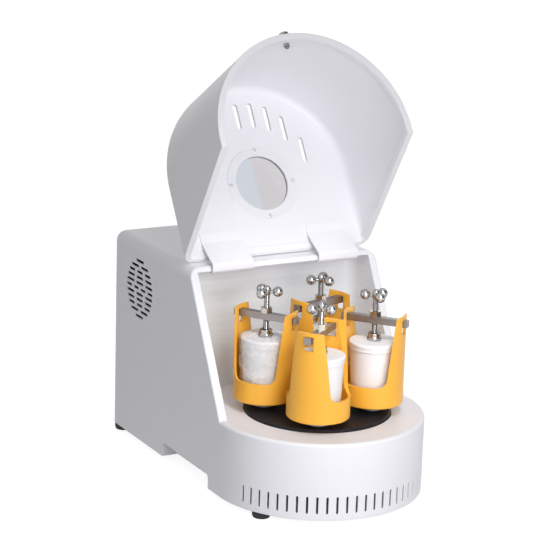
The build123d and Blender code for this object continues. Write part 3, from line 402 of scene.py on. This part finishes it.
def clear_film(name, opacity):
    """Thin clear film, milkier in soft patches and along wandering creases. These are where a
    noise passes through its middle value, and both are laid out by the piece's own map."""
    nodes = new_finish(name)
    place = nodes.add("ShaderNodeUVMap", {"uv_map": "Surface"})
    spread = nodes.add("ShaderNodeMapping", None, {"Vector": place, "Scale": (5.0, 3.0, 1.0)})
    folds = nodes.noise(spread, 1.3, 2.0, 0.45)
    creases = (1 - ((nodes.noise(spread, 1.5, 1.0, 0.4) - 0.5) * 2.0).maths("ABSOLUTE")) ** 14.0
    return nodes.principled(Base_Color=(0.97, 0.97, 0.98), Roughness=0.14 + folds * 0.14,
                            Alpha=opacity + folds * 0.3 + creases * 0.3, IOR=1.35,
                            Normal=nodes.bump(folds + creases * 0.3, 0.0008))


def paint(material, *names):
    """Gives CAD nodes a finish."""
    for name in names:
        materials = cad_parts[name].data.materials
        materials.clear()
        materials.append(material)


# Settings

class CasingSettings(bpy.types.PropertyGroup):
    """Colours and finish of the casing, the hood and their fittings."""
    white: FloatVectorProperty(name="Casing", description="Colour of the casing and the hood",
                               subtype="COLOR", default=(0.925, 0.918, 0.95))
    liner: FloatVectorProperty(name="Liner", description="Colour of the chamber's liner",
                               subtype="COLOR", default=(0.905, 0.93, 0.96))
    softness: FloatProperty(name="Edge radius", description="Radius that moulded edges catch light with",
                            unit="LENGTH", default=0.0012, min=0.0)
    pane: FloatVectorProperty(name="Window", description="Tint of the hood's window", subtype="COLOR",
                              default=(0.60, 0.585, 0.60))
    # The window's left part takes a painted bluish reflection
    pane_reflection: FloatVectorProperty(name="Window, left", description="Tint of the window's left part",
                                   subtype="COLOR", default=(0.635, 0.66, 0.72))
    fan: FloatVectorProperty(name="Fan", description="Colour of the cooling fan", subtype="COLOR",
                             default=(0.02, 0.02, 0.022))
    screws: FloatVectorProperty(name="Casing screws", description="Metal of the casing's screws",
                                subtype="COLOR", default=(0.6, 0.6, 0.6))
    ring_screws: FloatVectorProperty(name="Window screws", description="Metal of the window's screws",
                                     subtype="COLOR", default=(0.86, 0.86, 0.87))
    pull: FloatVectorProperty(name="Pull", description="Metal of the hood's pull", subtype="COLOR",
                              default=(0.45, 0.44, 0.43))


class FeetSettings(bpy.types.PropertyGroup):
    """Sizes and colour of the rubber feet."""
    rubber: FloatVectorProperty(name="Rubber", description="Colour of the feet", subtype="COLOR",
                                default=(0.012, 0.012, 0.013))
    radius: FloatProperty(name="Radius", description="Outer radius of a foot", unit="LENGTH", default=0.013)
    hole: FloatProperty(name="Hole", description="Radius of the hole for a foot's screw", unit="LENGTH",
                        default=0.0036)
    taper: FloatProperty(name="Taper", description="How much a foot narrows at its sole", unit="LENGTH",
                         default=0.0015)
    taper_height: FloatProperty(name="Taper height", description="Where a foot starts to narrow",
                                unit="LENGTH", default=0.004)


class DriveSettings(bpy.types.PropertyGroup):
    """Colours of the drive under the turntable."""
    casting: FloatVectorProperty(name="Castings", description="Colour of the frame and the bearing housing",
                                 subtype="COLOR", default=(0.3, 0.31, 0.32))
    pulley: FloatVectorProperty(name="Pulleys", description="Metal of the pulleys", subtype="COLOR",
                                default=(0.6, 0.6, 0.62))
    motor: FloatVectorProperty(name="Motor", description="Colour of the motor", subtype="COLOR",
                               default=(0.05, 0.06, 0.075))
    belt: FloatVectorProperty(name="Belt", description="Colour of the belt", subtype="COLOR",
                              default=(0.015, 0.015, 0.015))
    steel: FloatVectorProperty(name="Gears", description="Metal of the gears, shafts and bearings",
                               subtype="COLOR", default=(0.35, 0.35, 0.36))


class ControlSettings(bpy.types.PropertyGroup):
    """Colours of the controls and the rear fittings."""
    tray: FloatVectorProperty(name="Panel", description="Colour of the control panel", subtype="COLOR",
                              default=(0.34, 0.35, 0.37))
    display: FloatVectorProperty(name="Display", description="Colour of the display window",
                                 subtype="COLOR", default=(0.012, 0.016, 0.022))
    knob: FloatVectorProperty(name="Knob", description="Colour of the speed knob", subtype="COLOR",
                              default=(0.022, 0.022, 0.024))
    button: FloatVectorProperty(name="Button", description="Colour of the run button", subtype="COLOR",
                                default=(0.02, 0.33, 0.09))
    fittings: FloatVectorProperty(name="Fittings", description="Colour of the power inlet and switch",
                                  subtype="COLOR", default=(0.015, 0.015, 0.016))


class HolderSettings(bpy.types.PropertyGroup):
    """Colours of the turntable and the jar holders."""
    orange: FloatVectorProperty(name="Holder", description="Colour of the jar holders", subtype="COLOR",
                                default=(1.0, 0.49, 0.05))
    black: FloatVectorProperty(name="Turntable", description="Colour of the turntable", subtype="COLOR",
                               default=(0.018, 0.016, 0.018))
    softness: FloatProperty(name="Edge radius", description="Radius that the holders' edges catch light with",
                            unit="LENGTH", default=0.0008, min=0.0)


class JarSettings(bpy.types.PropertyGroup):
    """Sizes and colour of the grinding jars."""
    ceramic: FloatVectorProperty(name="Ceramic", description="Colour of the jars", subtype="COLOR",
                                 default=(0.92, 0.92, 0.93))
    base_radius: FloatProperty(name="Base radius", description="Outer radius at the jar's foot",
                               unit="LENGTH", default=0.030)
    neck_radius: FloatProperty(name="Neck radius", description="Outer radius under the jar's collar",
                               unit="LENGTH", default=0.0325)
    wall: FloatProperty(name="Wall", description="Thickness of the jar's wall", unit="LENGTH", default=0.005)
    collar: FloatProperty(name="Collar height", description="Height of the band under the lid",
                          unit="LENGTH", default=0.006)
    edge: FloatProperty(name="Edge radius", description="Radius of the jar's edges", unit="LENGTH",
                        default=0.0012)


class FilmSettings(bpy.types.PropertyGroup):
    """The clear film round one jar."""
    stand_off: FloatProperty(name="Stand-off", description="How far the film stands off the jar",
                             unit="LENGTH", default=0.0016)
    crinkle: FloatProperty(name="Crinkle", description="Depth of the film's creases", unit="LENGTH",
                           default=0.0015)
    opacity: FloatProperty(name="Opacity", description="How milky the film's smooth parts are",
                           default=0.16, min=0.0, max=1.0)
    skirt: FloatProperty(name="Skirt", description="How far the film hangs straight down from the lid",
                         unit="LENGTH", default=0.004)
    waist: FloatProperty(name="Waist", description="Where the film meets the jar, below the lid's joint",
                         unit="LENGTH", default=0.014)
    hem: FloatProperty(name="Hem", description="How far above the jar's foot the film ends",
                       unit="LENGTH", default=0.003)


class ClampSettings(bpy.types.PropertyGroup):
    """Sizes and metals of the clamps."""
    bar: FloatVectorProperty(name="Bar", description="Colour of the crossbars", subtype="COLOR",
                             default=(0.33, 0.305, 0.30))
    nut: FloatVectorProperty(name="Nut", description="Colour of the nuts", subtype="COLOR",
                             default=(0.58, 0.53, 0.46))
    chrome: FloatVectorProperty(name="Chrome", description="Colour of the screws", subtype="COLOR",
                                default=(0.50, 0.485, 0.48))
    screw_radius: FloatProperty(name="Screw radius", description="Outer radius of the thread",
                                unit="LENGTH", default=0.004)
    thread_pitch: FloatProperty(name="Thread pitch", description="Rise of the thread in one turn",
                                unit="LENGTH", default=0.00125)
    thread_depth: FloatProperty(name="Thread depth", description="Depth of the thread's groove",
                                unit="LENGTH", default=0.0006)
    ball_radius: FloatProperty(name="Ball radius", description="Radius of the handle's balls",
                               unit="LENGTH", default=0.0071)
    ball_reach: FloatProperty(name="Ball reach", description="From the screw's axis to a ball's centre",
                              unit="LENGTH", default=0.0149)
    ball_count: IntProperty(name="Balls", description="Arms on each handle", default=3, min=2)
    arm_radius: FloatProperty(name="Arm radius", description="Radius of the handle's arms",
                              unit="LENGTH", default=0.0022)
    hub_radius: FloatProperty(name="Hub radius", description="Radius of the hub and its dome",
                              unit="LENGTH", default=0.005)
    hub_crown: FloatProperty(name="Hub crown", description="From the arms' level up to the dome's centre",
                             unit="LENGTH", default=0.0035)
    nut_height: FloatProperty(name="Nut height", description="Height of the nuts on the crossbars",
                              unit="LENGTH", default=0.0075)
    foot_radius: FloatProperty(name="Foot radius", description="Radius of the pressure feet",
                               unit="LENGTH", default=0.010)
    seat_depth: FloatProperty(name="Seat depth", description="Depth of the screw's seat in a foot",
                              unit="LENGTH", default=0.006)


class StageSettings(bpy.types.PropertyGroup):
    """Floor, light and camera."""
    floor: FloatVectorProperty(name="Floor", description="Colour of the floor", subtype="COLOR",
                               default=(0.5, 0.5, 0.505))
    glow: FloatProperty(name="Floor glow", description="What the camera adds to the floor's own light",
                        default=0.85, min=0.0)
    front: FloatProperty(name="Front lamp", description="Power of the lamp in front of the open hood",
                         unit="POWER", default=10.5, min=0.0)
    spot: FloatProperty(name="Spot", description="Power of the spot above the turntable",
                        unit="POWER", default=15.0, min=0.0)
    side: FloatProperty(name="Side light", description="Strength of the light from the left",
                        default=0.52, min=0.0)
    top: FloatProperty(name="Top light", description="Strength of the light from above",
                       default=0.22, min=0.0)
    rear: FloatProperty(name="Rear light", description="Strength of the light from behind, at the right",
                        default=0.55, min=0.0)
    tone: FloatVectorProperty(name="Light colour", description="Colour of the lamps", subtype="COLOR",
                              default=(0.965, 0.975, 1.0))
    sky: FloatProperty(name="Sky light", description="Strength of the light from all round",
                       default=0.2, min=0.0)
    lens: FloatProperty(name="Lens", description="The camera's focal length", unit="CAMERA",
                        default=135.05)
    eye: FloatVectorProperty(name="Camera", description="Where the camera stands", subtype="TRANSLATION",
                             default=(-1.39661, -2.46524, 1.0248))


# Operators

class MILL_OT_casing(bpy.types.Operator):
    """Finishes the casing, its liner, the fan and the parts underneath"""
    bl_idname = "mill.casing"
    bl_label = "Casing"

    def execute(self, context):
        settings = context.scene.mill_casing
        paint(moulded("casing_white", settings.white, softness=settings.softness), "body_shell")
        paint(lined("liner_cream", settings.liner, 0.011), "chamber_liner")
        paint(moulded("panel_white", settings.white, 0.5), "rear_panel", "base_plate")
        paint(moulded("fan_black", settings.fan, 0.5), "fan_frame", "fan_rotor")
        paint(polished("screw_steel", settings.screws, 0.25), "casing_screws")
        return {"FINISHED"}


class MILL_OT_feet(bpy.types.Operator):
    """Makes the four rubber feet"""
    bl_idname = "mill.feet"
    bl_label = "Feet"

    def execute(self, context):
        settings = context.scene.mill_feet
        low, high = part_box("rubber_feet")
        radius = settings.radius
        top = high.z
        seam = top - 0.0003
        profile = rounded([(settings.hole, seam), (settings.hole, 0.0), (radius - settings.taper, 0.0),
                           (radius, settings.taper_height), (radius, top), (settings.hole, top)],
                          [0.0006, 0.0008, 0.0012, 0.0008], 5)
        reach = high.x - radius
        front = low.y + radius
        spread = math.sqrt(reach**2 - (front - middle("turntable").y)**2)
        places = [(-spread, front), (spread, front), (-reach, high.y - radius), (reach, high.y - radius)]
        grids = [spun(profile, 48, (x, y, 0.0)) for x, y in places]
        piece = surface("foot_pads", grids, rubber("feet_rubber", settings.rubber), "casing")
        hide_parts("rubber_feet")
        return {"FINISHED"}


class MILL_OT_drive(bpy.types.Operator):
    """Finishes the drive under the turntable"""
    bl_idname = "mill.drive"
    bl_label = "Drive"

    def execute(self, context):
        settings = context.scene.mill_drive
        axis = middle("turntable")
        motor = middle("drive_motor")
        paint(cast("cast_grey", settings.casting), "drive_frame", "bearing_housing")
        paint(lathed("pulley_aluminium", settings.pulley, axis, 0.3, metallic=1.0), "driven_pulley")
        paint(lathed("motor_pulley_metal", settings.pulley, motor, 0.3, metallic=1.0), "motor_pulley")
        paint(moulded("motor_paint", settings.motor, 0.4), "drive_motor")
        paint(rubber("belt_rubber", settings.belt), "drive_belt")
        gears = [f"planet_pinion_{pot}" for pot in POTS]
        paint(cast("gear_steel", settings.steel, 1.0, 0.35), "sun_gear", "main_shaft", "main_bearings",
              "planet_bearings", *gears)
        return {"FINISHED"}


class MILL_OT_turntable(bpy.types.Operator):
    """Finishes the turntable and the jar holders"""
    bl_idname = "mill.turntable"
    bl_label = "Turntable and holders"

    def execute(self, context):
        settings = context.scene.mill_holders
        paint(lathed("disc_black", settings.black, middle("turntable"), 0.5, gleam=0.2), "turntable")
        orange = moulded("holder_orange", settings.orange, 0.38, 0.00002, settings.softness)
        paint(orange, *(f"jar_holder_{pot}" for pot in POTS))
        return {"FINISHED"}


class MILL_OT_jars(bpy.types.Operator):
    """Makes the jars and their lids"""
    bl_idname = "mill.jars"
    bl_label = "Jars"

    def execute(self, context):
        settings = context.scene.mill_jars
        ceramic = chalky("jar_ceramic", settings.ceramic)
        edge = settings.edge
        segments = 96
        for pot in POTS:
            centre = middle(f"jar_{pot}")
            at = (centre.x, centre.y, 0)
            low, joint = levels(f"jar_{pot}")
            plug, top = levels(f"jar_lid_{pot}")
            collar_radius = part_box(f"jar_{pot}")[1].x - centre.x
            lid_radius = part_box(f"jar_lid_{pot}")[1].x - centre.x
            inner_high = settings.neck_radius - settings.wall
            inner_low = settings.base_radius - settings.wall
            collar_low = joint - settings.collar
            floor = low + settings.wall
            body = rounded([(0, low), (settings.base_radius, low), (settings.neck_radius, collar_low),
                            (collar_radius, collar_low), (collar_radius, joint), (inner_high, joint),
                            (inner_low, floor), (0, floor)],
                           edge * np.array([1.5, 0.3, 0.6, 0.4, 0.4, 2.0]))
            jar = surface(f"jar_body_{pot}", [spun(body, segments, at)], ceramic, f"holder_{pot}")
            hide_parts(f"jar_{pot}")
            plug_radius = inner_high - edge * 0.5
            cap = rounded([(0, plug), (plug_radius - edge, plug), (plug_radius - edge * 0.4, joint),
                           (lid_radius, joint), (lid_radius, top), (0, top)],
                          edge * np.array([0.4, 0.2, 0.4, 2.0]))
            lid = surface(f"jar_cap_{pot}", [spun(cap, segments, at)], ceramic, f"holder_{pot}")
            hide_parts(f"jar_lid_{pot}")
        return {"FINISHED"}


class MILL_OT_film(bpy.types.Operator):
    """Wraps the left jar in crinkled clear film"""
    bl_idname = "mill.film"
    bl_label = "Film"
    # Each crease's turns round the jar and its climb
    CREASES = ((2, 9.0), (-3, 12.0), (5, 6.0), (1, 17.0), (-4, 8.0), (7, 4.0))
    # Points of the film's grid round the jar and from its foot over the lid
    AROUND = 220
    ALONG = 150

    def execute(self, context):
        settings = context.scene.mill_film
        jars = context.scene.mill_jars
        centre = middle("jar_left")
        low, joint = levels("jar_left")
        top = levels("jar_lid_left")[1]
        lid_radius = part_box("jar_lid_left")[1].x - centre.x
        off = settings.stand_off
        lift = off / 2
        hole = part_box("pressure_foot_left")[1].x - centre.x + lift
        path = rounded([(hole, top + lift), (lid_radius + off, top + lift),
                        (lid_radius + off, joint - settings.skirt),
                        (jars.neck_radius + 2 * off, joint - settings.waist),
                        (jars.base_radius + 2 * off, low + settings.hem)], [0.003, 0.003, 0.004], 8)
        step = np.concatenate([[0], np.cumsum(np.linalg.norm(np.diff(path, axis=0), axis=1))])
        along = np.linspace(0, step[-1], self.ALONG)
        radius = np.interp(along, step, path[:, 0])
        height = np.interp(along, step, path[:, 1])
        angle = np.linspace(0, 2 * np.pi, self.AROUND, endpoint=False)[:, None]
        reach = along / step[-1]
        # A crease is a sharp wave, (1 - |sin|) squared, that winds round the jar and wanders. The
        # creases add up, and are weak on the lid's flat top.
        random = np.random.default_rng(seed=7)
        crease = np.zeros((self.AROUND, self.ALONG))
        for turns, climb in self.CREASES:
            phase = random.uniform(0, 2 * np.pi)
            wander = 0.8 * np.sin(2 * angle + 5 * reach + phase)
            wave = np.sin((turns * angle + climb * reach * 2 + phase + wander) / 2)
            crease += (1 - np.abs(wave)) ** 2 / 3
        weight = np.interp(reach, [0, 0.2, 0.35, 1], [0.15, 0.4, 1, 1])
        relief = settings.crinkle * crease * weight
        slant = np.gradient(height) / np.hypot(np.gradient(radius), np.gradient(height))
        outwards = np.abs(slant)
        wide = radius + relief * outwards
        grid = np.stack([wide * np.cos(angle) + centre.x, wide * np.sin(angle) + centre.y,
                         height + relief * (1 - outwards)], axis=-1)
        film = surface("jar_film", [grid], clear_film("film_clear", settings.opacity), "holder_left",
                       smooth_angle=80.0)
        return {"FINISHED"}


class MILL_OT_clamps(bpy.types.Operator):
    """Makes the clamp screws and their feet, and brushes the crossbars"""
    bl_idname = "mill.clamps"
    bl_label = "Clamps"

    def execute(self, context):
        settings = context.scene.mill_clamps
        chrome = polished("handle_chrome", settings.chrome)
        hair = 0.0002
        for pot in POTS:
            centre = middle(f"jar_{pot}")
            at = np.array([centre.x, centre.y, 0.0])
            bar_low, nut_top = levels(f"crossbar_{pot}")
            nut_level = nut_top - settings.nut_height + hair
            turn = math.radians(BAR_TURNS[pot])
            paint(brushed(f"bar_steel_{pot}", settings.bar, turn, (centre.x, centre.y, bar_low), nut_level,
                          settings.nut), f"crossbar_{pot}")
            low, high = levels(f"clamp_screw_{pot}")
            level = high - settings.hub_radius - settings.hub_crown
            screw = surface(f"screw_{pot}", [grid + at for grid in self.screw(settings, low, level, pot)],
                            chrome, f"screw_{pot}", smooth_angle=50.0)
            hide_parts(f"clamp_screw_{pot}")
            foot_low, foot_top = levels(f"pressure_foot_{pot}")
            foot = surface(f"foot_{pot}", [self.foot(settings, foot_low, foot_top) + at], chrome,
                           f"foot_{pot}")
            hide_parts(f"pressure_foot_{pot}")
        return {"FINISHED"}

    def screw(self, settings, low, level, pot):
        """The threaded rod, the domed hub and the arms. The rod's radius falls and rises as a
        triangle wave of height / pitch - angle / full turn. An arm and its ball are one profile, the
        larger of a rod and a sphere."""
        segments = 40
        tip = 0.0012
        run_in = 0.001
        rod_top = level - 0.004
        hub_low = level - 0.0045
        hub_chamfer = 0.001
        arm_start = 0.002
        angle = np.linspace(0, 2 * np.pi, segments, endpoint=False)[:, None]
        height = np.arange(low + tip, rod_top, settings.thread_pitch / 6)
        wave = np.abs(np.mod(height / settings.thread_pitch - angle / (2 * np.pi), 1) * 2 - 1)
        fade = np.clip((height - height[0]) / run_in, 0, 1)
        radius = settings.screw_radius - settings.thread_depth * wave * fade
        rod = np.stack([radius * np.cos(angle), radius * np.sin(angle), height + 0 * angle], axis=-1)
        bottom = spun([(0, low), (settings.screw_radius - tip, low), (settings.screw_radius, low + tip)],
                      segments)
        cap = np.zeros((segments, 1, 3)) + [0, 0, rod_top]
        rod = np.concatenate([bottom, rod[:, 1:], cap], axis=1)
        dome = np.linspace(0, np.pi / 2, 12)
        side = [(0, hub_low), (settings.hub_radius - hub_chamfer, hub_low),
                (settings.hub_radius, hub_low + hub_chamfer)]
        crown = np.stack([settings.hub_radius * np.cos(dome),
                          level + settings.hub_crown + settings.hub_radius * np.sin(dome)], axis=1)
        crown[-1, 0] = 0
        hub = spun(np.vstack([side, crown]), 48)
        start = math.asin(settings.arm_radius / settings.ball_radius)
        sweep = np.linspace(start, np.pi, 22)
        across = settings.ball_radius * np.sin(sweep)
        along = settings.ball_reach - settings.ball_radius * np.cos(sweep)
        rod_end = [(0, arm_start), (settings.arm_radius, arm_start)]
        profile = np.vstack([rod_end, np.stack([across, along], axis=1)])
        profile[-1, 0] = 0
        arm = turned(spun(profile, 36), math.radians(90), "Y")
        grids = [rod, hub]
        for place in range(settings.ball_count):
            turn = math.radians(HANDLE_TURNS[pot]) + 2 * math.pi * place / settings.ball_count
            grids.append(turned(arm, turn) + [0, 0, level])
        return grids

    def foot(self, settings, low, top):
        """Round pad with a shallow waist and a seat for the screw's end."""
        wide = settings.foot_radius
        running_gap = 0.00005
        hole = settings.screw_radius + running_gap
        waist = wide - 0.0012
        seat = top - settings.seat_depth
        profile = rounded([(0, low), (wide - 0.0004, low), (wide, low + 0.0035), (waist, low + 0.0046),
                           (waist, top - 0.001), (wide - 0.003, top), (hole, top), (hole, seat),
                           (0, seat)], 0.0005, 5)
        return spun(profile, 64)


class MILL_OT_hood(bpy.types.Operator):
    """Finishes the hood, its window, pull and hinges"""
    bl_idname = "mill.hood"
    bl_label = "Hood"

    def execute(self, context):
        settings = context.scene.mill_casing
        paint(moulded("hood_white", settings.white, softness=settings.softness), "lid_shell")
        # The ring is the casing white made 2% darker: painted shade, so its edge shows as the faint grey
        # outline of the groove round the window
        paint(moulded("ring_white", shaded(settings.white, 0.98), 0.35), "window_ring")
        paint(moulded("hinge_white", shaded(settings.white, 1.03), 0.36, softness=0.0005), "hinge_arms",
              "hinge_brackets")
        # The pane's left part carries a painted bluish reflection
        paint(clear_pane("window_clear", settings.pane, settings.pane_reflection, middle("window_pane")),
              "window_pane")
        paint(polished("screw_bright", settings.ring_screws, 0.5), "window_screws")
        paint(polished("pull_metal", settings.pull, 0.2), "lid_pull")
        return {"FINISHED"}


class MILL_OT_controls(bpy.types.Operator):
    """Finishes the control panel and the rear fittings"""
    bl_idname = "mill.controls"
    bl_label = "Controls"

    def execute(self, context):
        settings = context.scene.mill_controls
        paint(moulded("panel_grey", settings.tray, 0.45), "control_panel")
        paint(moulded("display_dark", settings.display, 0.12, 0.000002), "display_window")
        paint(moulded("knob_black", settings.knob, 0.42, 0.00004, 0.0004), "speed_knob")
        paint(moulded("button_green", settings.button, 0.3, 0.00001, 0.0003), "run_button")
        paint(moulded("switch_black", settings.fittings, 0.4), "power_inlet", "power_switch")
        return {"FINISHED"}


class MILL_OT_stage(bpy.types.Operator):
    """Sets the floor, the light, the background and the camera"""
    bl_idname = "mill.stage"
    bl_label = "Stage"

    def execute(self, context):
        settings = context.scene.mill_stage
        self.floor(context, settings)
        self.light(context, settings)
        self.background(context, settings)
        self.camera(context, settings)
        context.scene.view_settings.view_transform = "Standard"
        return {"FINISHED"}

    def floor(self, context, settings):
        """A flat floor, a hair under the feet. Its camera-only glow lifts it to the background."""
        nodes = new_finish("studio_floor")
        grain = nodes.noise(nodes.place(), 3.0, 2.0)
        base = nodes.mix(grain, shaded(settings.floor, 0.99), settings.floor)
        glow = nodes.mix(nodes.seen(), (0.0, 0.0, 0.0), (1.0, 1.0, 1.0))
        material = nodes.principled(Base_Color=base, Roughness=0.9, Emission_Color=glow,
                                    Emission_Strength=settings.glow)
        reach = 30.0
        level = -0.0002
        corners = np.array([(-reach, -reach, level), (reach, -reach, level), (reach, reach, level),
                            (-reach, reach, level)])
        mesh = bpy.data.meshes.new("studio_floor")
        mesh.from_pydata(corners, [], [(0, 1, 2, 3)])
        mesh.materials.append(material)
        floor = bpy.data.objects.new("studio_floor", mesh)
        context.scene.collection.objects.link(floor)

    def light(self, context, settings):
        """Broad soft lights from the left, from above and from behind, and a lamp and a spot that
        shine into the open hood and down on the turntable."""
        lights = (("side_light", settings.side, (0.875, 0.404, -0.19)),
                  ("top_light", settings.top, (0.0, 0.15, -1.0)),
                  ("rear_light", settings.rear, (-0.55, -0.8, 0.05)))
        origin = (0.0, 0.0, 0.0)
        for name, strength, aim in lights:
            sun = self.lamp(context, name, "SUN", strength, settings.tone, origin, aim)
            sun.angle = math.radians(80)
        front = self.lamp(context, "front_lamp", "AREA", settings.front, settings.tone,
                          (-0.14, -1.3, 0.6), (0.02, -0.05, 0.27))
        front.size = 0.9
        spot = self.lamp(context, "chamber_spot", "SPOT", settings.spot, settings.tone,
                         (-0.1, -0.57, 0.88), (0.0, -0.07, 0.2))
        spot.spot_size = math.radians(34)
        spot.spot_blend = 1.0
        spot.shadow_soft_size = 0.12

    def lamp(self, context, name, kind, power, tone, place, target):
        """A lamp at a place, turned to a target."""
        lamp = bpy.data.lights.new(name, kind)
        lamp.energy = power
        lamp.color = tone
        light = bpy.data.objects.new(name, lamp)
        light.location = place
        light.rotation_euler = (Vector(target) - Vector(place)).to_track_quat("-Z", "Y").to_euler()
        context.scene.collection.objects.link(light)
        return lamp

    def background(self, context, settings):
        """Even light on the object. The camera and clear parts see white, and polished parts see
        white behind the object and a dim room in front of it, with a round lamp at the camera."""
        world = bpy.data.worlds.new("studio")
        context.scene.world = world
        nodes = Nodes(world)
        glossy = nodes.add("ShaderNodeLightPath", output="Is Glossy Ray")
        eye = Vector(settings.eye).normalized()
        direction = nodes.add("ShaderNodeTexCoord", output="Generated")
        forwards = nodes.add("ShaderNodeSeparateXYZ", None, {"Vector": direction}, "Y")
        white = (1.0, 1.0, 1.0)
        stops = [(0.3, (0.14, 0.14, 0.145)), (0.6, white)]
        room = nodes.add("ShaderNodeValToRGB", {"stops": stops}, {"Fac": forwards * 0.5 + 0.5})
        towards = nodes.add("ShaderNodeVectorMath", {"operation": "DOT_PRODUCT"},
                            {0: direction, 1: tuple(eye)}, "Value")
        edge, sharpness = 0.86, 14.0
        lamp = ((towards - edge) * sharpness).clamped()
        show = nodes.mix(glossy, white, nodes.mix(lamp, room, white))
        back = nodes.add("ShaderNodeBackground", None, {"Color": show, "Strength": 1.0})
        even = nodes.add("ShaderNodeBackground", None, {"Color": white, "Strength": settings.sky})
        mixed = nodes.add("ShaderNodeMixShader", None, {0: nodes.seen(), 1: even, 2: back})
        nodes.add("ShaderNodeOutputWorld", None, {"Surface": mixed})

    def camera(self, context, settings):
        """The photograph's viewpoint: where it stands, and its right and forward directions."""
        lens = bpy.data.cameras.new("camera")
        lens.lens = settings.lens
        lens.sensor_width = 36.0
        camera = bpy.data.objects.new("camera", lens)
        right = Vector((0.8758, -0.4816, 0.0311)).normalized()
        forward = Vector((0.4731, 0.844, -0.2528)).normalized()
        up = right.cross(forward).normalized()
        right = forward.cross(up).normalized()
        turn = Matrix((right, up, -forward)).transposed().to_4x4()
        camera.matrix_world = Matrix.Translation(Vector(settings.eye)) @ turn
        context.scene.collection.objects.link(camera)
        context.scene.camera = camera


OPERATORS = (
    MILL_OT_casing, MILL_OT_feet, MILL_OT_drive, MILL_OT_turntable, MILL_OT_jars, MILL_OT_film,
    MILL_OT_clamps, MILL_OT_hood, MILL_OT_controls, MILL_OT_stage)
SETTINGS = {
    "mill_casing": CasingSettings, "mill_feet": FeetSettings, "mill_drive": DriveSettings,
    "mill_holders": HolderSettings, "mill_jars": JarSettings, "mill_film": FilmSettings,
    "mill_clamps": ClampSettings, "mill_controls": ControlSettings, "mill_stage": StageSettings}


class MILL_PT_panel(bpy.types.Panel):
    """The sidebar's list of pieces and their settings"""
    bl_label = "Ball Mill"
    bl_space_type = "VIEW_3D"
    bl_region_type = "UI"
    bl_category = "Ball Mill"

    def draw(self, context):
        for operator in OPERATORS:
            self.layout.operator(operator.bl_idname)
        for name, group in SETTINGS.items():
            box = self.layout.box()
            for setting in group.__annotations__:
                box.prop(getattr(context.scene, name), setting)


def register():
    for kind in (*SETTINGS.values(), *OPERATORS, MILL_PT_panel):
        bpy.utils.register_class(kind)
    for name, group in SETTINGS.items():
        setattr(bpy.types.Scene, name, PointerProperty(type=group))


def unregister():
    for name in SETTINGS:
        delattr(bpy.types.Scene, name)
    for kind in reversed((*SETTINGS.values(), *OPERATORS, MILL_PT_panel)):
        bpy.utils.unregister_class(kind)


def main():
    register()
    for operator in OPERATORS:
        group, name = operator.bl_idname.split(".")
        getattr(getattr(bpy.ops, group), name)()


if __name__ == "__main__":
    main()
